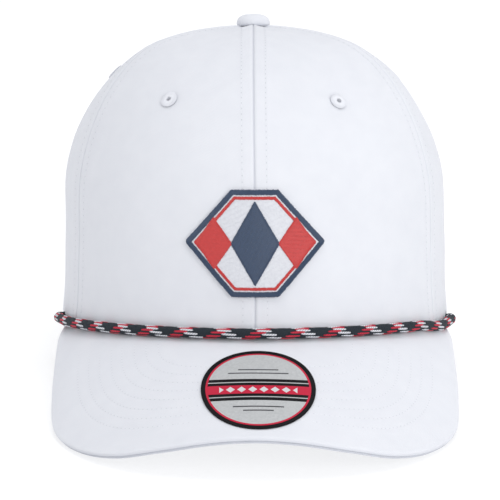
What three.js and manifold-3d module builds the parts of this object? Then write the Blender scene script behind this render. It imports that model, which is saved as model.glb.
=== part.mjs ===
// A white six-panel rope cap: a structured crown of six sewn panels, a curved peak, a braided rope along
// the foot of the front panels, a cloth button, sewn eyelets, and an arched back opening with a snap strap.
//
// Millimetres, +Z up, the peak points to -Y and +X is the wearer's left. Every piece is first placed in the
// cap's own frame, where the plane of the rim is level. At the end the whole cap is leaned back until the
// peak's corners and the back of the rim stand on one floor, and moved so that the origin lies on that
// floor, under the centre of the cap.
import * as THREE from "three";
import { mergeVertices } from "three/addons/utils/BufferGeometryUtils.js";
import Module from "manifold-3d";

const solids = await Module();
solids.setup();

// Driving dimensions of the crown
const rimHalfWidth = 85;
const rimFrontReach = 106;
const rimBackReach = 106;
const crownHeight = 132;
const crownWall = 2;
const apexLean = 12; // degrees that the top falls towards the back, at the button
const rimFrontRise = 17; // how far the foot of the front panels arches up over the forehead
const rimRiseEndAngle = 98;
const panelFlatness = 1.2; // how far the middle of a panel lies inside the round through its seams
const pieceGap = 0.3;
const innerGap = 0.5; // between the cloth and what lies along its hollow side

// Seams, as degrees round the oval from the middle of the front
const frontSeamAngle = 63;
const backSeamAngle = 122;

// Peak
const peakLength = 69; // forward of the crown, in plan
const peakHalfWidth = 84.2;
const peakFrontDrop = 23.3; // from the foot of the front seam down to the front edge
const peakCornerDrop = 19; // from the plane of the rim down to the corners
const peakEndAngle = 71;
const peakCoverThickness = 1.4;
const peakCrown = 1.6; // how far the peak swells between its seam and its edge

// Rope, whose ends go in through a hole in each side panel
const ropeDiameter = 4.5;
const ropeEndAngle = 78;

// Button and eyelets
const buttonRadius = 7.2;
const buttonHeight = 5.3;
const buttonLip = 0.6; // bevel round the button's foot
const buttonStemRadius = 2.2;
const eyeletBore = 1;
const eyeletFlange = 3.5;
const eyeletRim = 0.7; // width of the thread round the bore, and height of the flange
const frontEyeletAngle = 31;
const eyeletDistance = 71; // plan distance from the button to the front and back eyelets
const sideEyeletDistance = 61;

// Sweatband, back opening and strap
const sweatbandHeight = 34;
const sweatbandWall = 1.4;
const archHalfWidth = 36;
const archHeight = 48;
const bindingWidth = 7;
const bindingWall = 1;
const strapHeight = 20;
const strapWall = 1.5;
const strapOverlap = 12;
const strapLift = 1;
const strapStudRadius = 2.4;
const strapStudHeight = 1.6;
const strapStudPitch = 11;
const strapStudCount = 5;

// Embroidered emblem on the front and oval sticker on the peak
const emblemWidth = 57;
const emblemHeight = 42;
const emblemCentreHeight = 58;
const emblemThickness = 1;
const stickerWidth = 45.5;
const stickerLength = 53;
const stickerCentre = 0.5; // share of the way from the crown to the peak's edge
const stickerThickness = 0.4;

const radians = THREE.MathUtils.degToRad;
const lerp = THREE.MathUtils.lerp;

// Crown sections, from the rim up to the apex. rise is a share of the crown's height, and front, side and
// back are shares of the rim's reach in that direction.
const crownSections = [
  { rise: 0, front: 1, side: 1, back: 1 },
  { rise: 0.15, front: 0.985, side: 0.985, back: 1.005 },
  { rise: 0.32, front: 0.95, side: 0.977, back: 0.985 },
  { rise: 0.5, front: 0.887, side: 0.965, back: 0.94 },
  { rise: 0.62, front: 0.81, side: 0.918, back: 0.885 },
  { rise: 0.73, front: 0.7, side: 0.84, back: 0.82 },
  { rise: 0.82, front: 0.565, side: 0.745, back: 0.74 },
  { rise: 0.89, front: 0.425, side: 0.635, back: 0.645 },
  { rise: 0.945, front: 0.285, side: 0.49, back: 0.5 },
  { rise: 0.985, front: 0.14, side: 0.26, back: 0.27 },
  { rise: 1, front: 0, side: 0, back: 0 },
];
const lastSection = crownSections.length - 1;

// Stations along one half of the peak's outer edge, from the middle of the front to the temple. seam is the
// share of the peak's end angle where the station's rib leaves the crown, across a share of the half width,
// forward a share of the way from the temple to the front edge, and drop a share of the corner drop, except
// at the middle, where the front drop sets it.
const peakStations = [
  { seam: 0, across: 0, forward: 1, drop: 0 },
  { seam: 0.16, across: 0.22, forward: 0.99, drop: 0.12 },
  { seam: 0.33, across: 0.45, forward: 0.955, drop: 0.46 },
  { seam: 0.5, across: 0.66, forward: 0.89, drop: 0.84 },
  { seam: 0.66, across: 0.84, forward: 0.78, drop: 1 },
  { seam: 0.8, across: 0.965, forward: 0.62, drop: 0.93 },
  { seam: 0.9, across: 0.996, forward: 0.41, drop: 0.58 },
  { seam: 0.96, across: 0.997, forward: 0.2, drop: 0.16 },
  { seam: 1, across: 0.995, forward: 0, drop: -0.2 },
];

// A smooth reading of a table's column between its rows. before and after are the values just outside the
// table, which set the slope at its two ends.
function readColumn(table, column, row, before, after) {
  const last = table.length - 1;
  const start = Math.min(Math.floor(row), last - 1);
  const value = (i) => (i < 0 ? before : i > last ? after : table[i][column]);
  const [a, b, c, d] = [start - 1, start, start + 1, start + 2].map(value);
  const t = row - start;
  return b + 0.5 * t * (c - a + t * (2 * a - 5 * b + 4 * c - d + t * (3 * (b - c) + d - a)));
}

// The wall stands upright at the rim, and the top is level across the apex before it is leaned.
function crownShare(column, row) {
  const beforeRim = crownSections[1][column];
  const afterApex = crownSections[lastSection - 1][column];
  if (column === "rise") return readColumn(crownSections, column, row, -beforeRim, afterApex);
  return readColumn(crownSections, column, row, beforeRim, -afterApex);
}

// Height of the crown's foot: level round the back, and arched up over the forehead.
function rimHeight(angle) {
  const share = Math.min(Math.abs(angle) / radians(rimRiseEndAngle), 1);
  return rimFrontRise * Math.cos((Math.PI / 2) * share) ** 1.2;
}

// The smooth round of the crown's outer face: angle runs round the oval from the front, and row up the
// sections.
function crownRound(angle, row) {
  const [reach, column] = Math.cos(angle) > 0 ? [rimFrontReach, "front"] : [rimBackReach, "back"];
  const x = rimHalfWidth * crownShare("side", row) * Math.sin(angle);
  const y = -reach * crownShare(column, row) * Math.cos(angle);
  const rise = crownShare("rise", row);
  const lean = THREE.MathUtils.smoothstep(rise, 0.4, 1) * Math.tan(radians(apexLean));
  const z = lerp(rimHeight(angle), crownHeight, rise) - y * lean;
  return new THREE.Vector3(x, y, z);
}

function crownNormal(angle, row) {
  const step = 1e-3;
  const low = Math.max(row - step, 0);
  const up = crownRound(angle, row + step).sub(crownRound(angle, low));
  const round = crownRound(angle + step, row).sub(crownRound(angle - step, row));
  if (row < step) up.set(0, 0, 1);
  return round.cross(up).normalize();
}

const seams = [-180, -backSeamAngle, -frontSeamAngle, 0, frontSeamAngle, backSeamAngle, 180].map(radians);

// How far a panel lies inside the round, which is nothing at its seams and most in its middle.
function panelSink(angle) {
  const wrapped = THREE.MathUtils.euclideanModulo(angle + Math.PI, 2 * Math.PI) - Math.PI;
  const next = seams.findIndex((seam) => seam > wrapped);
  const share = (wrapped - seams[next - 1]) / (seams[next] - seams[next - 1]);
  return panelFlatness * Math.sin(Math.PI * share);
}

// A point of the crown at a depth below its outer face, which is negative for a piece that lies on it.
function crownPoint(angle, row, depth) {
  return crownRound(angle, row).addScaledVector(crownNormal(angle, row), -depth - panelSink(angle));
}

// The value between low and high where a rising function passes the target.
function solve(rising, target, low, high) {
  for (let i = 0; i < 40; i++) {
    const middle = (low + high) / 2;
    if (rising(middle) < target) low = middle;
    else high = middle;
  }
  return (low + high) / 2;
}

function rowAtHeight(angle, height) {
  return solve((row) => crownRound(angle, row).z, height, 0, lastSection * 0.7);
}

function rowAtDistance(angle, distance) {
  const plan = (row) => -Math.hypot(crownRound(angle, row).x, crownRound(angle, row).y);
  return solve(plan, -distance, 0, lastSection);
}

// A point of the front of the crown, given how far it lies to the side and how high.
function crownFront(x, height, depth) {
  const angleAt = (row) => Math.asin(x / (rimHalfWidth * crownShare("side", row)));
  const row = solve((r) => crownRound(angleAt(r), r).z, height, 0, lastSection * 0.7);
  return crownPoint(angleAt(row), row, depth);
}

// Geometry from a list of points and faces, turned to face outwards.
function closedGeometry(positions, faces) {
  const geometry = new THREE.BufferGeometry();
  geometry.setAttribute("position", new THREE.Float32BufferAttribute(positions, 3));
  const corner = (i) => new THREE.Vector3().fromArray(positions, 3 * i);
  let volume = 0;
  for (let i = 0; i < faces.length; i += 3) {
    volume += corner(faces[i]).dot(corner(faces[i + 1]).cross(corner(faces[i + 2])));
  }
  geometry.setIndex(volume < 0 ? [...faces].reverse() : faces);
  geometry.computeVertexNormals();
  return geometry;
}

// A closed wall between two faces: pointAt(across, up, depth) gives its points, across and up from 0 to 1.
function wallGeometry(pointAt, acrossSteps, upSteps, nearDepth, farDepth) {
  const positions = [];
  const faces = [];
  const columns = acrossSteps + 1;
  const side = columns * (upSteps + 1);
  for (const depth of [nearDepth, farDepth]) {
    for (let j = 0; j <= upSteps; j++) {
      for (let i = 0; i <= acrossSteps; i++) {
        positions.push(...pointAt(i / acrossSteps, j / upSteps, depth).toArray());
      }
    }
  }
  const near = (i, j) => j * columns + i;
  const far = (i, j) => side + near(i, j);
  const quad = (a, b, c, d) => faces.push(a, b, c, a, c, d);
  for (let j = 0; j < upSteps; j++) {
    for (let i = 0; i < acrossSteps; i++) {
      quad(near(i, j), near(i + 1, j), near(i + 1, j + 1), near(i, j + 1));
      quad(far(i, j), far(i, j + 1), far(i + 1, j + 1), far(i + 1, j));
    }
    quad(near(0, j), near(0, j + 1), far(0, j + 1), far(0, j));
    quad(near(acrossSteps, j), far(acrossSteps, j), far(acrossSteps, j + 1), near(acrossSteps, j + 1));
  }
  for (let i = 0; i < acrossSteps; i++) {
    quad(near(i, 0), far(i, 0), far(i + 1, 0), near(i + 1, 0));
    quad(near(i, upSteps), near(i + 1, upSteps), far(i + 1, upSteps), far(i, upSteps));
  }
  return closedGeometry(positions, faces);
}

// A closed bar through a row of sections, each a ring of as many points.
function barGeometry(sections) {
  const ring = sections[0].length;
  const faces = [];
  for (let i = 0; i < sections.length - 1; i++) {
    for (let k = 0; k < ring; k++) {
      const a = i * ring + k;
      const b = i * ring + ((k + 1) % ring);
      faces.push(a, b, b + ring, a, b + ring, a + ring);
    }
  }
  const outline = sections[0].map((point) => new THREE.Vector2(point.u, point.v));
  const last = (sections.length - 1) * ring;
  for (const [a, b, c] of THREE.ShapeUtils.triangulateShape(outline, [])) {
    faces.push(a, c, b, last + a, last + b, last + c);
  }
  return closedGeometry(sections.flat().flatMap((point) => point.at.toArray()), faces);
}

// The same geometry as a solid that can be joined and cut, and back again.
function toSolid(geometry) {
  const bare = new THREE.BufferGeometry();
  bare.setAttribute("position", geometry.getAttribute("position"));
  bare.setIndex(geometry.index);
  const merged = mergeVertices(bare, 1e-4);
  return new solids.Manifold(
    new solids.Mesh({
      numProp: 3,
      vertProperties: merged.attributes.position.array,
      triVerts: new Uint32Array(merged.index.array),
    }),
  );
}

function toGeometry(solid) {
  const mesh = solid.getMesh();
  const geometry = new THREE.BufferGeometry();
  geometry.setAttribute("position", new THREE.BufferAttribute(mesh.vertProperties, 3));
  geometry.setIndex(new THREE.BufferAttribute(mesh.triVerts, 1));
  geometry.computeVertexNormals();
  return geometry;
}

function cut(geometry, ...tools) {
  return toGeometry(tools.reduce((solid, tool) => solid.subtract(toSolid(tool)), toSolid(geometry)));
}

function join(...geometries) {
  const [first, ...others] = geometries.map(toSolid);
  return toGeometry(others.reduce((solid, other) => solid.add(other), first));
}

// Stands a geometry made along +Z at a point, turned to point along a direction.
function stand(geometry, point, direction) {
  const turn = new THREE.Quaternion().setFromUnitVectors(new THREE.Vector3(0, 0, 1), direction);
  return geometry.applyQuaternion(turn).translate(point.x, point.y, point.z);
}

// A rod along +Z, and a turned shape from its profile of [radius, height] points.
function rod(radius, low, high, sides = 20) {
  return new THREE.CylinderGeometry(radius, radius, high - low, sides)
    .rotateX(Math.PI / 2)
    .translate(0, 0, (low + high) / 2);
}

function turned(profile, sides) {
  const points = profile.map(([radius, height]) => new THREE.Vector2(radius, height));
  return new THREE.LatheGeometry(points, sides).rotateX(Math.PI / 2);
}

const cloth = new THREE.MeshStandardMaterial({ color: 0xe9eaf0, roughness: 0.8, metalness: 0 });
const thread = new THREE.MeshStandardMaterial({ color: 0xf0f1f6, roughness: 0.6, metalness: 0 });
const ropeCord = new THREE.MeshStandardMaterial({ color: 0x1d2330, roughness: 0.7, metalness: 0 });
const emblemThread = new THREE.MeshStandardMaterial({ color: 0x36475f, roughness: 0.6, metalness: 0 });
const stickerFilm = new THREE.MeshStandardMaterial({ color: 0xb4b8bb, roughness: 0.3, metalness: 0.3 });
const strapPlastic = new THREE.MeshStandardMaterial({ color: 0xe6e7ea, roughness: 0.4, metalness: 0 });

const cap = new THREE.Group();

function place(name, geometry, material) {
  const mesh = new THREE.Mesh(geometry, material);
  mesh.name = name;
  cap.add(mesh);
}

// Where the sewn eyelets and the rope's holes are, on the crown
const apexPoint = crownRound(0, lastSection);
const apexNormal = new THREE.Vector3(0, Math.tan(radians(apexLean)), 1).normalize();
const apexHoleRadius = buttonStemRadius + pieceGap;

function spotOnCrown(angle, row) {
  return { point: crownPoint(angle, row, 0), normal: crownNormal(angle, row) };
}

function eyeletSpot(degrees, distance) {
  const angle = radians(degrees);
  return spotOnCrown(angle, rowAtDistance(angle, distance));
}

// The rope lies on the cloth, just above the two covers of the peak.
const ropeRadius = ropeDiameter / 2;
const ropeLift = ropeRadius + pieceGap;
const peakThickness = 2 * peakCoverThickness + pieceGap;
const ropeHeight = (angle) => rimHeight(angle) + peakThickness + ropeLift;

function ropeHole(side) {
  const angle = side * radians(ropeEndAngle);
  return spotOnCrown(angle, rowAtHeight(angle, ropeHeight(angle)));
}

// A sewn eyelet: a flange of thread on the outer face and a short sleeve through the wall.
function eyeletGeometry() {
  const sleeve = eyeletBore + eyeletRim;
  const profile = [
    [eyeletBore, -crownWall],
    [sleeve, -crownWall],
    [sleeve, pieceGap],
    [eyeletFlange, pieceGap],
    [(eyeletFlange + sleeve) / 2, pieceGap + eyeletRim],
    [eyeletBore, pieceGap + 0.6 * eyeletRim],
    [eyeletBore, -crownWall],
  ];
  return turned(profile, 14);
}

// The hole that leaves a piece of this radius its gap in the cloth.
function holeTool(spot, radius) {
  return stand(rod(radius + pieceGap, -3 * crownWall, 2 * crownWall, 16), spot.point, spot.normal);
}

// The arched opening at the back, seen square on.
const archSteps = 24;
const archOutline = [];
for (let i = 0; i <= archSteps; i++) {
  const turn = (Math.PI * i) / archSteps;
  archOutline.push({ x: archHalfWidth * Math.cos(turn), z: archHeight * Math.sin(turn) ** 0.8 });
}

function archTool() {
  const shape = new THREE.Shape();
  shape.moveTo(-archHalfWidth, -bindingWidth);
  shape.lineTo(archHalfWidth, -bindingWidth);
  for (const { x, z } of archOutline) shape.lineTo(x, z);
  shape.closePath();
  const depth = rimBackReach + bindingWidth;
  const tool = new THREE.ExtrudeGeometry(shape, { depth, bevelEnabled: false });
  return tool.rotateX(Math.PI / 2).translate(0, depth, 0);
}

// Six panels, cut for their eyelets, for the rope and for the back opening.
function panelGeometry(startAngle, endAngle) {
  const steps = Math.round((endAngle - startAngle) / 6.5);
  const pointAt = (across, up, depth) => {
    const angle = radians(lerp(startAngle, endAngle, across));
    const topRow = rowAtDistance(angle, apexHoleRadius + pieceGap);
    const row = up * topRow;
    const along = crownRound(angle + 1e-3, row).sub(crownRound(angle - 1e-3, row)).normalize();
    return crownPoint(angle, row, depth).addScaledVector(along, pieceGap * (0.5 - across));
  };
  return wallGeometry(pointAt, steps, 14, 0, crownWall);
}

// The panels of one half, with the angle and the distance from the button of each one's eyelet.
const backSeam = 180;
const sideEyelet = (frontSeamAngle + backSeamAngle) / 2;
const backEyelet = (backSeamAngle + backSeam) / 2;
const panels = [
  { name: "front", start: 0, end: frontSeamAngle, eyelet: frontEyeletAngle, reach: eyeletDistance },
  { name: "side", start: frontSeamAngle, end: backSeamAngle, eyelet: sideEyelet, reach: sideEyeletDistance },
  { name: "back", start: backSeamAngle, end: backSeam, eyelet: backEyelet, reach: eyeletDistance },
];

for (const [side, sideName] of [[1, "left"], [-1, "right"]]) {
  for (const panel of panels) {
    const [start, end] = side > 0 ? [panel.start, panel.end] : [-panel.end, -panel.start];
    const eyelet = eyeletSpot(side * panel.eyelet, panel.reach);
    const tools = [holeTool(eyelet, eyeletBore + eyeletRim)];
    if (panel.name === "side") tools.push(holeTool(ropeHole(side), ropeRadius + pieceGap));
    if (panel.name === "back") tools.push(archTool());
    place(`crown_panel_${panel.name}_${sideName}`, cut(panelGeometry(start, end), ...tools), cloth);
    place(`eyelet_${panel.name}_${sideName}`, stand(eyeletGeometry(), eyelet.point, eyelet.normal), thread);
  }
}

// The cloth-covered button on its stem.
function buttonGeometry() {
  const base = pieceGap;
  const profile = [
    [0, -crownWall - 1],
    [buttonStemRadius, -crownWall - 1],
    [buttonStemRadius, base],
    [buttonRadius - buttonLip, base],
  ];
  const domeSteps = 5;
  const domeFoot = base + buttonLip;
  for (let i = 0; i < domeSteps; i++) {
    const turn = (Math.PI / 2) * (i / domeSteps);
    const height = (buttonHeight - buttonLip) * Math.sin(turn) ** 0.9;
    profile.push([buttonRadius * Math.cos(turn) ** 0.6, domeFoot + height]);
  }
  profile.push([0, base + buttonHeight]);
  return turned(profile, 20);
}
place("button", stand(buttonGeometry(), apexPoint, apexNormal), cloth);

// The peak's surface: across runs from the right temple to the left one, out from the crown to the edge.
function peakEdgePoint(across) {
  const last = peakStations.length - 1;
  const row = Math.min(Math.abs(across), 1) * last;
  const mirrored = (column, sign) => {
    const beyond = 2 * peakStations[last][column] - peakStations[last - 1][column];
    return readColumn(peakStations, column, row, sign * peakStations[1][column], beyond);
  };
  const templeY = crownRound(radians(peakEndAngle), 0).y;
  const frontY = -rimFrontReach - peakLength;
  const middle = rimFrontRise - peakFrontDrop;
  const drop = mirrored("drop", 1);
  const forward = mirrored("forward", 1);
  const x = Math.sign(across) * peakHalfWidth * mirrored("across", -1);
  const y = lerp(templeY, frontY, forward);
  const edgeLevel = middle * THREE.MathUtils.smoothstep(forward, 0.2, 1);
  const z = edgeLevel - (peakCornerDrop + edgeLevel) * drop;
  const seamAngle = Math.sign(across) * radians(peakEndAngle) * mirrored("seam", -1);
  return { point: new THREE.Vector3(x, y, z), seamAngle };
}

function peakRound(across, out) {
  const edge = peakEdgePoint(across);
  const foot = crownRound(edge.seamAngle, 0).addScaledVector(crownNormal(edge.seamAngle, 0), pieceGap);
  const swell = peakCrown * 4 * out * (1 - out);
  return foot.lerp(edge.point, out).add(new THREE.Vector3(0, 0, peakThickness + swell));
}

// The covers' thickness is square to the surface, but upright where they meet the crown.
function peakPoint(across, out, depth) {
  const step = 1e-3;
  const sideways = peakRound(across + step, out).sub(peakRound(across - step, out));
  const [inner, outer] = [Math.max(out - step, 0), Math.min(out + step, 1)];
  const outwards = peakRound(across, outer).sub(peakRound(across, inner));
  const normal = sideways.cross(outwards).normalize();
  if (normal.z < 0) normal.negate();
  const away = crownNormal(peakEdgePoint(across).seamAngle, 0);
  const upright = 1 - THREE.MathUtils.smoothstep(out, 0, 0.25);
  normal.addScaledVector(away, -normal.dot(away) * upright).normalize();
  return peakRound(across, out).addScaledVector(normal, -depth);
}

// The two covers of the peak, sewn together round its board.
const peakEnd = 0.96;
const onPeak = (across, up, depth) => peakPoint(lerp(-peakEnd, peakEnd, across), up, depth);
const underDepth = peakCoverThickness + pieceGap;
place("peak_upper", wallGeometry(onPeak, 36, 4, 0, peakCoverThickness), cloth);
place("peak_lower", wallGeometry(onPeak, 36, 4, underDepth, underDepth + peakCoverThickness), cloth);

// The braided rope along the foot of the crown, from inside one hole to inside the other. Near its ends it
// leaves the cloth and turns in: along and out are the way from the hole along the crown and out of it, in
// rope radii.
const ropeTurn = [
  { along: -4.2, out: 1.05 },
  { along: -2.4, out: 1.25 },
  { along: -1.2, out: 1.27 },
  { along: -0.35, out: 0.94 },
  { along: 0, out: 0.1 },
];

function ropePath() {
  const half = [];
  const steps = 16;
  const turnReach = -ropeTurn[0].along * ropeRadius;
  const lastAngle = radians(ropeEndAngle) - (1.5 * turnReach) / rimHalfWidth;
  for (let i = 0; i <= steps; i++) {
    const angle = (lastAngle * i) / steps;
    half.push(crownPoint(angle, rowAtHeight(angle, ropeHeight(angle)), -ropeLift));
  }
  const { point, normal } = ropeHole(1);
  const along = point.clone().sub(half[steps]).projectOnPlane(normal).normalize();
  for (const turn of ropeTurn) {
    const place = point.clone().addScaledVector(along, turn.along * ropeRadius);
    half.push(place.addScaledVector(normal, turn.out * ropeRadius));
  }
  half.push(point.clone().addScaledVector(normal, -crownWall));
  const mirrored = half.slice(1).reverse().map((p) => new THREE.Vector3(-p.x, p.y, p.z));
  return new THREE.CatmullRomCurve3([...mirrored, ...half], false, "centripetal");
}

function ropeGeometry() {
  const section = new THREE.Shape().absarc(0, 0, ropeRadius, 0, 2 * Math.PI);
  const settings = { steps: 80, curveSegments: 4, bevelEnabled: false, extrudePath: ropePath() };
  return new THREE.ExtrudeGeometry(section, settings);
}
place("rope", ropeGeometry(), ropeCord);

// The strap across the foot of the back opening, one plain piece with the studs of its snaps.
function inBack(halfWidth) {
  return Math.PI - Math.asin(halfWidth / rimHalfWidth);
}

// A point of a band that runs round inside the crown, from low to high above the crown's foot.
function bandPoint(angle, height, depth) {
  const row = rowAtHeight(angle, rimHeight(angle) + height);
  return crownRound(angle, row).addScaledVector(crownNormal(angle, row), -depth);
}

function strapGeometry() {
  const end = inBack(archHalfWidth + strapOverlap);
  const depth = panelFlatness + crownWall + bindingWall + 2 * innerGap;
  const pointAt = (across, up, sunk) =>
    bandPoint(lerp(end, 2 * Math.PI - end, across), strapLift + up * strapHeight, depth + sunk);
  const studs = [];
  for (let i = 0; i < strapStudCount; i++) {
    const x = (i - (strapStudCount - 1) / 2) * strapStudPitch;
    const angle = inBack(x);
    const seat = bandPoint(angle, strapLift + strapHeight / 2, depth + strapWall / 2);
    const outwards = crownNormal(angle, rowAtHeight(angle, strapLift + strapHeight / 2));
    studs.push(stand(rod(strapStudRadius, 0, strapWall / 2 + strapStudHeight, 14), seat, outwards));
  }
  return join(wallGeometry(pointAt, 16, 2, 0, strapWall), ...studs);
}
place("closure_strap", strapGeometry(), strapPlastic);

// The sweatband, inside the rim from one end of the strap round the front to the other.
function sweatbandGeometry() {
  const end = inBack(archHalfWidth + strapOverlap + pieceGap);
  const depth = panelFlatness + crownWall + innerGap;
  const pointAt = (across, up, sunk) =>
    bandPoint(lerp(-end, end, across), up * sweatbandHeight, depth + sunk);
  return wallGeometry(pointAt, 44, 3, 0, sweatbandWall);
}
place("sweatband", sweatbandGeometry(), cloth);

// The tape folded over the edge of the back opening, outside and inside the cloth.
function bindingGeometry() {
  const edge = -pieceGap - bindingWall;
  const inside = crownWall + innerGap;
  const profile = [
    [edge, -pieceGap - bindingWall],
    [bindingWidth, -pieceGap - bindingWall],
    [bindingWidth, -pieceGap],
    [-pieceGap, -pieceGap],
    [-pieceGap, inside],
    [bindingWidth, inside],
    [bindingWidth, inside + bindingWall],
    [edge, inside + bindingWall],
  ];
  const sections = [];
  for (let i = 0; i <= archSteps; i++) {
    const before = archOutline[Math.max(i - 1, 0)];
    const after = archOutline[Math.min(i + 1, archSteps)];
    const away = new THREE.Vector2(after.z - before.z, before.x - after.x).normalize();
    sections.push(
      profile.map(([reach, depth]) => {
        const x = archOutline[i].x + away.x * reach;
        const height = Math.max(archOutline[i].z + away.y * reach, 0);
        const angle = inBack(x);
        const row = rowAtHeight(angle, height);
        return { u: reach, v: depth, at: crownPoint(angle, row, depth) };
      }),
    );
  }
  return barGeometry(sections);
}
place("arch_binding", bindingGeometry(), cloth);

// The embroidered emblem, a long six-sided patch across the front seam.
function emblemGeometry() {
  const pointAt = (across, up, depth) => {
    const x = lerp(-emblemWidth / 2, emblemWidth / 2, across);
    const shoulder = emblemWidth / 6;
    const narrow = Math.min(1, (emblemWidth / 2 - Math.abs(x)) / (emblemWidth / 2 - shoulder));
    const halfHeight = (emblemHeight / 2) * Math.max(narrow, 0.02);
    return crownFront(x, emblemCentreHeight + (2 * up - 1) * halfHeight, depth);
  };
  return wallGeometry(pointAt, 18, 6, -pieceGap - emblemThickness, -pieceGap);
}
place("emblem", emblemGeometry(), emblemThread);

// The oval sticker on the peak: a square grid drawn out to a disc, laid on the peak's surface.
function stickerGeometry() {
  const acrossAt = (x, out) => solve((across) => peakRound(across, out).x, x, -1, 1);
  const share = stickerLength / 2 / Math.hypot(peakLength, peakFrontDrop);
  const pointAt = (across, up, depth) => {
    const u = 2 * across - 1;
    const v = 2 * up - 1;
    const x = (stickerWidth / 2) * u * Math.sqrt(1 - (v * v) / 2);
    const out = stickerCentre + share * v * Math.sqrt(1 - (u * u) / 2);
    return peakPoint(acrossAt(x, out), out, depth);
  };
  return wallGeometry(pointAt, 10, 8, -pieceGap - stickerThickness, -pieceGap);
}
place("size_sticker", stickerGeometry(), stickerFilm);

// How far the cap leans back when its peak's corners and the back of its rim stand on one floor.
function lowest(pieces, lean) {
  const turn = new THREE.Matrix4().makeRotationX(-lean);
  const corner = new THREE.Vector3();
  let low = Infinity;
  for (const { geometry } of pieces) {
    const positions = geometry.getAttribute("position");
    for (let i = 0; i < positions.count; i++) {
      low = Math.min(low, corner.fromBufferAttribute(positions, i).applyMatrix4(turn).z);
    }
  }
  return low;
}

const peak = [cap.getObjectByName("peak_lower")];
const others = cap.children.filter((piece) => !piece.name.startsWith("peak"));
const peakAboveBack = (lean) => lowest(peak, lean) - lowest(others, lean);
cap.rotation.x = -solve(peakAboveBack, 0, 0, radians(30));

// The origin lies on the floor, under the middle of the cap.
const box = new THREE.Box3().setFromObject(cap, true);
const middle = box.getCenter(new THREE.Vector3());
cap.position.set(-middle.x, -middle.y, -box.min.z);

const part = new THREE.Group();
part.add(cap);

export default part;
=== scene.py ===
# %% [markdown]
# # A white rope cap
#
# The object is a cap sewn from six panels of white twill, with a curved peak, a braided rope along the foot of
# the front and an oval sticker on the peak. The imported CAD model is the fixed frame: it already has every piece
# at its real size. Each cell below makes one piece of the look, lays it where the CAD piece lies, and says why
# it is made that way.

import math

import bmesh
import bpy
import numpy as np
from mathutils import Matrix, Vector, noise


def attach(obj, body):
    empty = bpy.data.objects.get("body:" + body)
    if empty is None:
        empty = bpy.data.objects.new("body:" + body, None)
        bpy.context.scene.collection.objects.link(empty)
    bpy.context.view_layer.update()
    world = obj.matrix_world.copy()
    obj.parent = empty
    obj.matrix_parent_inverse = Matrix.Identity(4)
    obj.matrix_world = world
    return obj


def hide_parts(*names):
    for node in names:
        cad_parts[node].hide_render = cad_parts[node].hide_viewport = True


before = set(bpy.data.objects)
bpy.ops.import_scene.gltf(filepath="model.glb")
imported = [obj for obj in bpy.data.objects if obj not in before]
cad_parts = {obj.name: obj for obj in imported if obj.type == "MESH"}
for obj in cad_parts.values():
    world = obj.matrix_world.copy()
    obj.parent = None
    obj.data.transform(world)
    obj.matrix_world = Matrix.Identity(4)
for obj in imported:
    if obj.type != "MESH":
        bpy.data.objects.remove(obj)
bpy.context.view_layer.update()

# %% [markdown]
# ## The cap's own frame
#
# A cap is easiest to describe with the plane of its rim level, in millimetres. On a table it leans back a
# little, on the corners of its peak and the rear of its rim. One small function turns a point of the level cap
# into a point of the scene, so that every piece can be shaped level and then stood up in the same way.

# %% Stand the cap up
LEAN = math.radians(4.5373)
FLOOR_SHIFT = np.array([0.0, 33.1706, 7.6647])


def stand_up(points):
    """Points of the level cap, in millimetres, as points of the scene, in metres."""
    x, y, z = np.moveaxis(np.asarray(points, float), -1, 0)
    turned = np.stack([x, y * math.cos(LEAN) + z * math.sin(LEAN), z * math.cos(LEAN) - y * math.sin(LEAN)], -1)
    return (turned + FLOOR_SHIFT) / 1000


print("rim's rear foot stands at", stand_up((0, 106, 0)).round(4))

# %% [markdown]
# ## Camera
#
# A product photo is taken from a distance with a long lens, so that the cap keeps its proportions. The camera
# was fitted to the outline of the crown and the peak: 12 degrees above the plane of the rim and 1.48 m away.

# %% Camera
CAMERA_DISTANCE = 1480.0
CAMERA_RISE = math.radians(12)
aim_mm = np.array([-2.1, -31.7, 41.2])
back_mm = np.array([0, -math.cos(CAMERA_RISE), math.sin(CAMERA_RISE)])
aim = Vector(stand_up(aim_mm))
eye = Vector(stand_up(aim_mm + CAMERA_DISTANCE * back_mm))

camera = bpy.data.objects.new("camera", bpy.data.cameras.new("camera"))
camera.data.sensor_width = 36
camera.data.lens = 250.6
camera.data.clip_end = 50
camera.location = eye
camera.rotation_euler = (aim - eye).to_track_quat("-Z", "Y").to_euler()
scene = bpy.context.scene
scene.collection.objects.link(camera)
scene.camera = camera
print("camera at", tuple(round(c, 3) for c in eye))

# %% [markdown]
# ## Small helpers for meshes
#
# Most pieces start as a flat grid, a ring or a sphere from a bmesh operator. Their vertices are then moved
# all at once with arrays of numbers, which is quick. Two facts about the cloth are kept on each vertex: where
# it lies on the flat cloth, in millimetres, for the weave, and how deep it lies in a fold, for a painted shade.

# %% Mesh helpers
SMOOTH_ANGLE = math.radians(38)


def read_verts(bm):
    return np.array([vert.co[:] for vert in bm.verts])


def move_verts(verts, places):
    for vert, place in zip(verts, places):
        vert.co = place


def note_cloth(bm, flat, fold):
    """Keeps each vertex's place on the flat cloth and its depth in a fold, which sets its painted shade."""
    flat_layer = bm.verts.layers.float_vector.new("flat")
    fold_layer = bm.verts.layers.float.new("fold")
    for vert, place, depth in zip(bm.verts, flat, fold):
        vert[flat_layer] = (place[0], place[1], 0)
        vert[fold_layer] = depth


def face_outwards(bm):
    bmesh.ops.recalc_face_normals(bm, faces=bm.faces)
    if bm.calc_volume(signed=True) < 0:
        bmesh.ops.reverse_faces(bm, faces=bm.faces)


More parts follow.
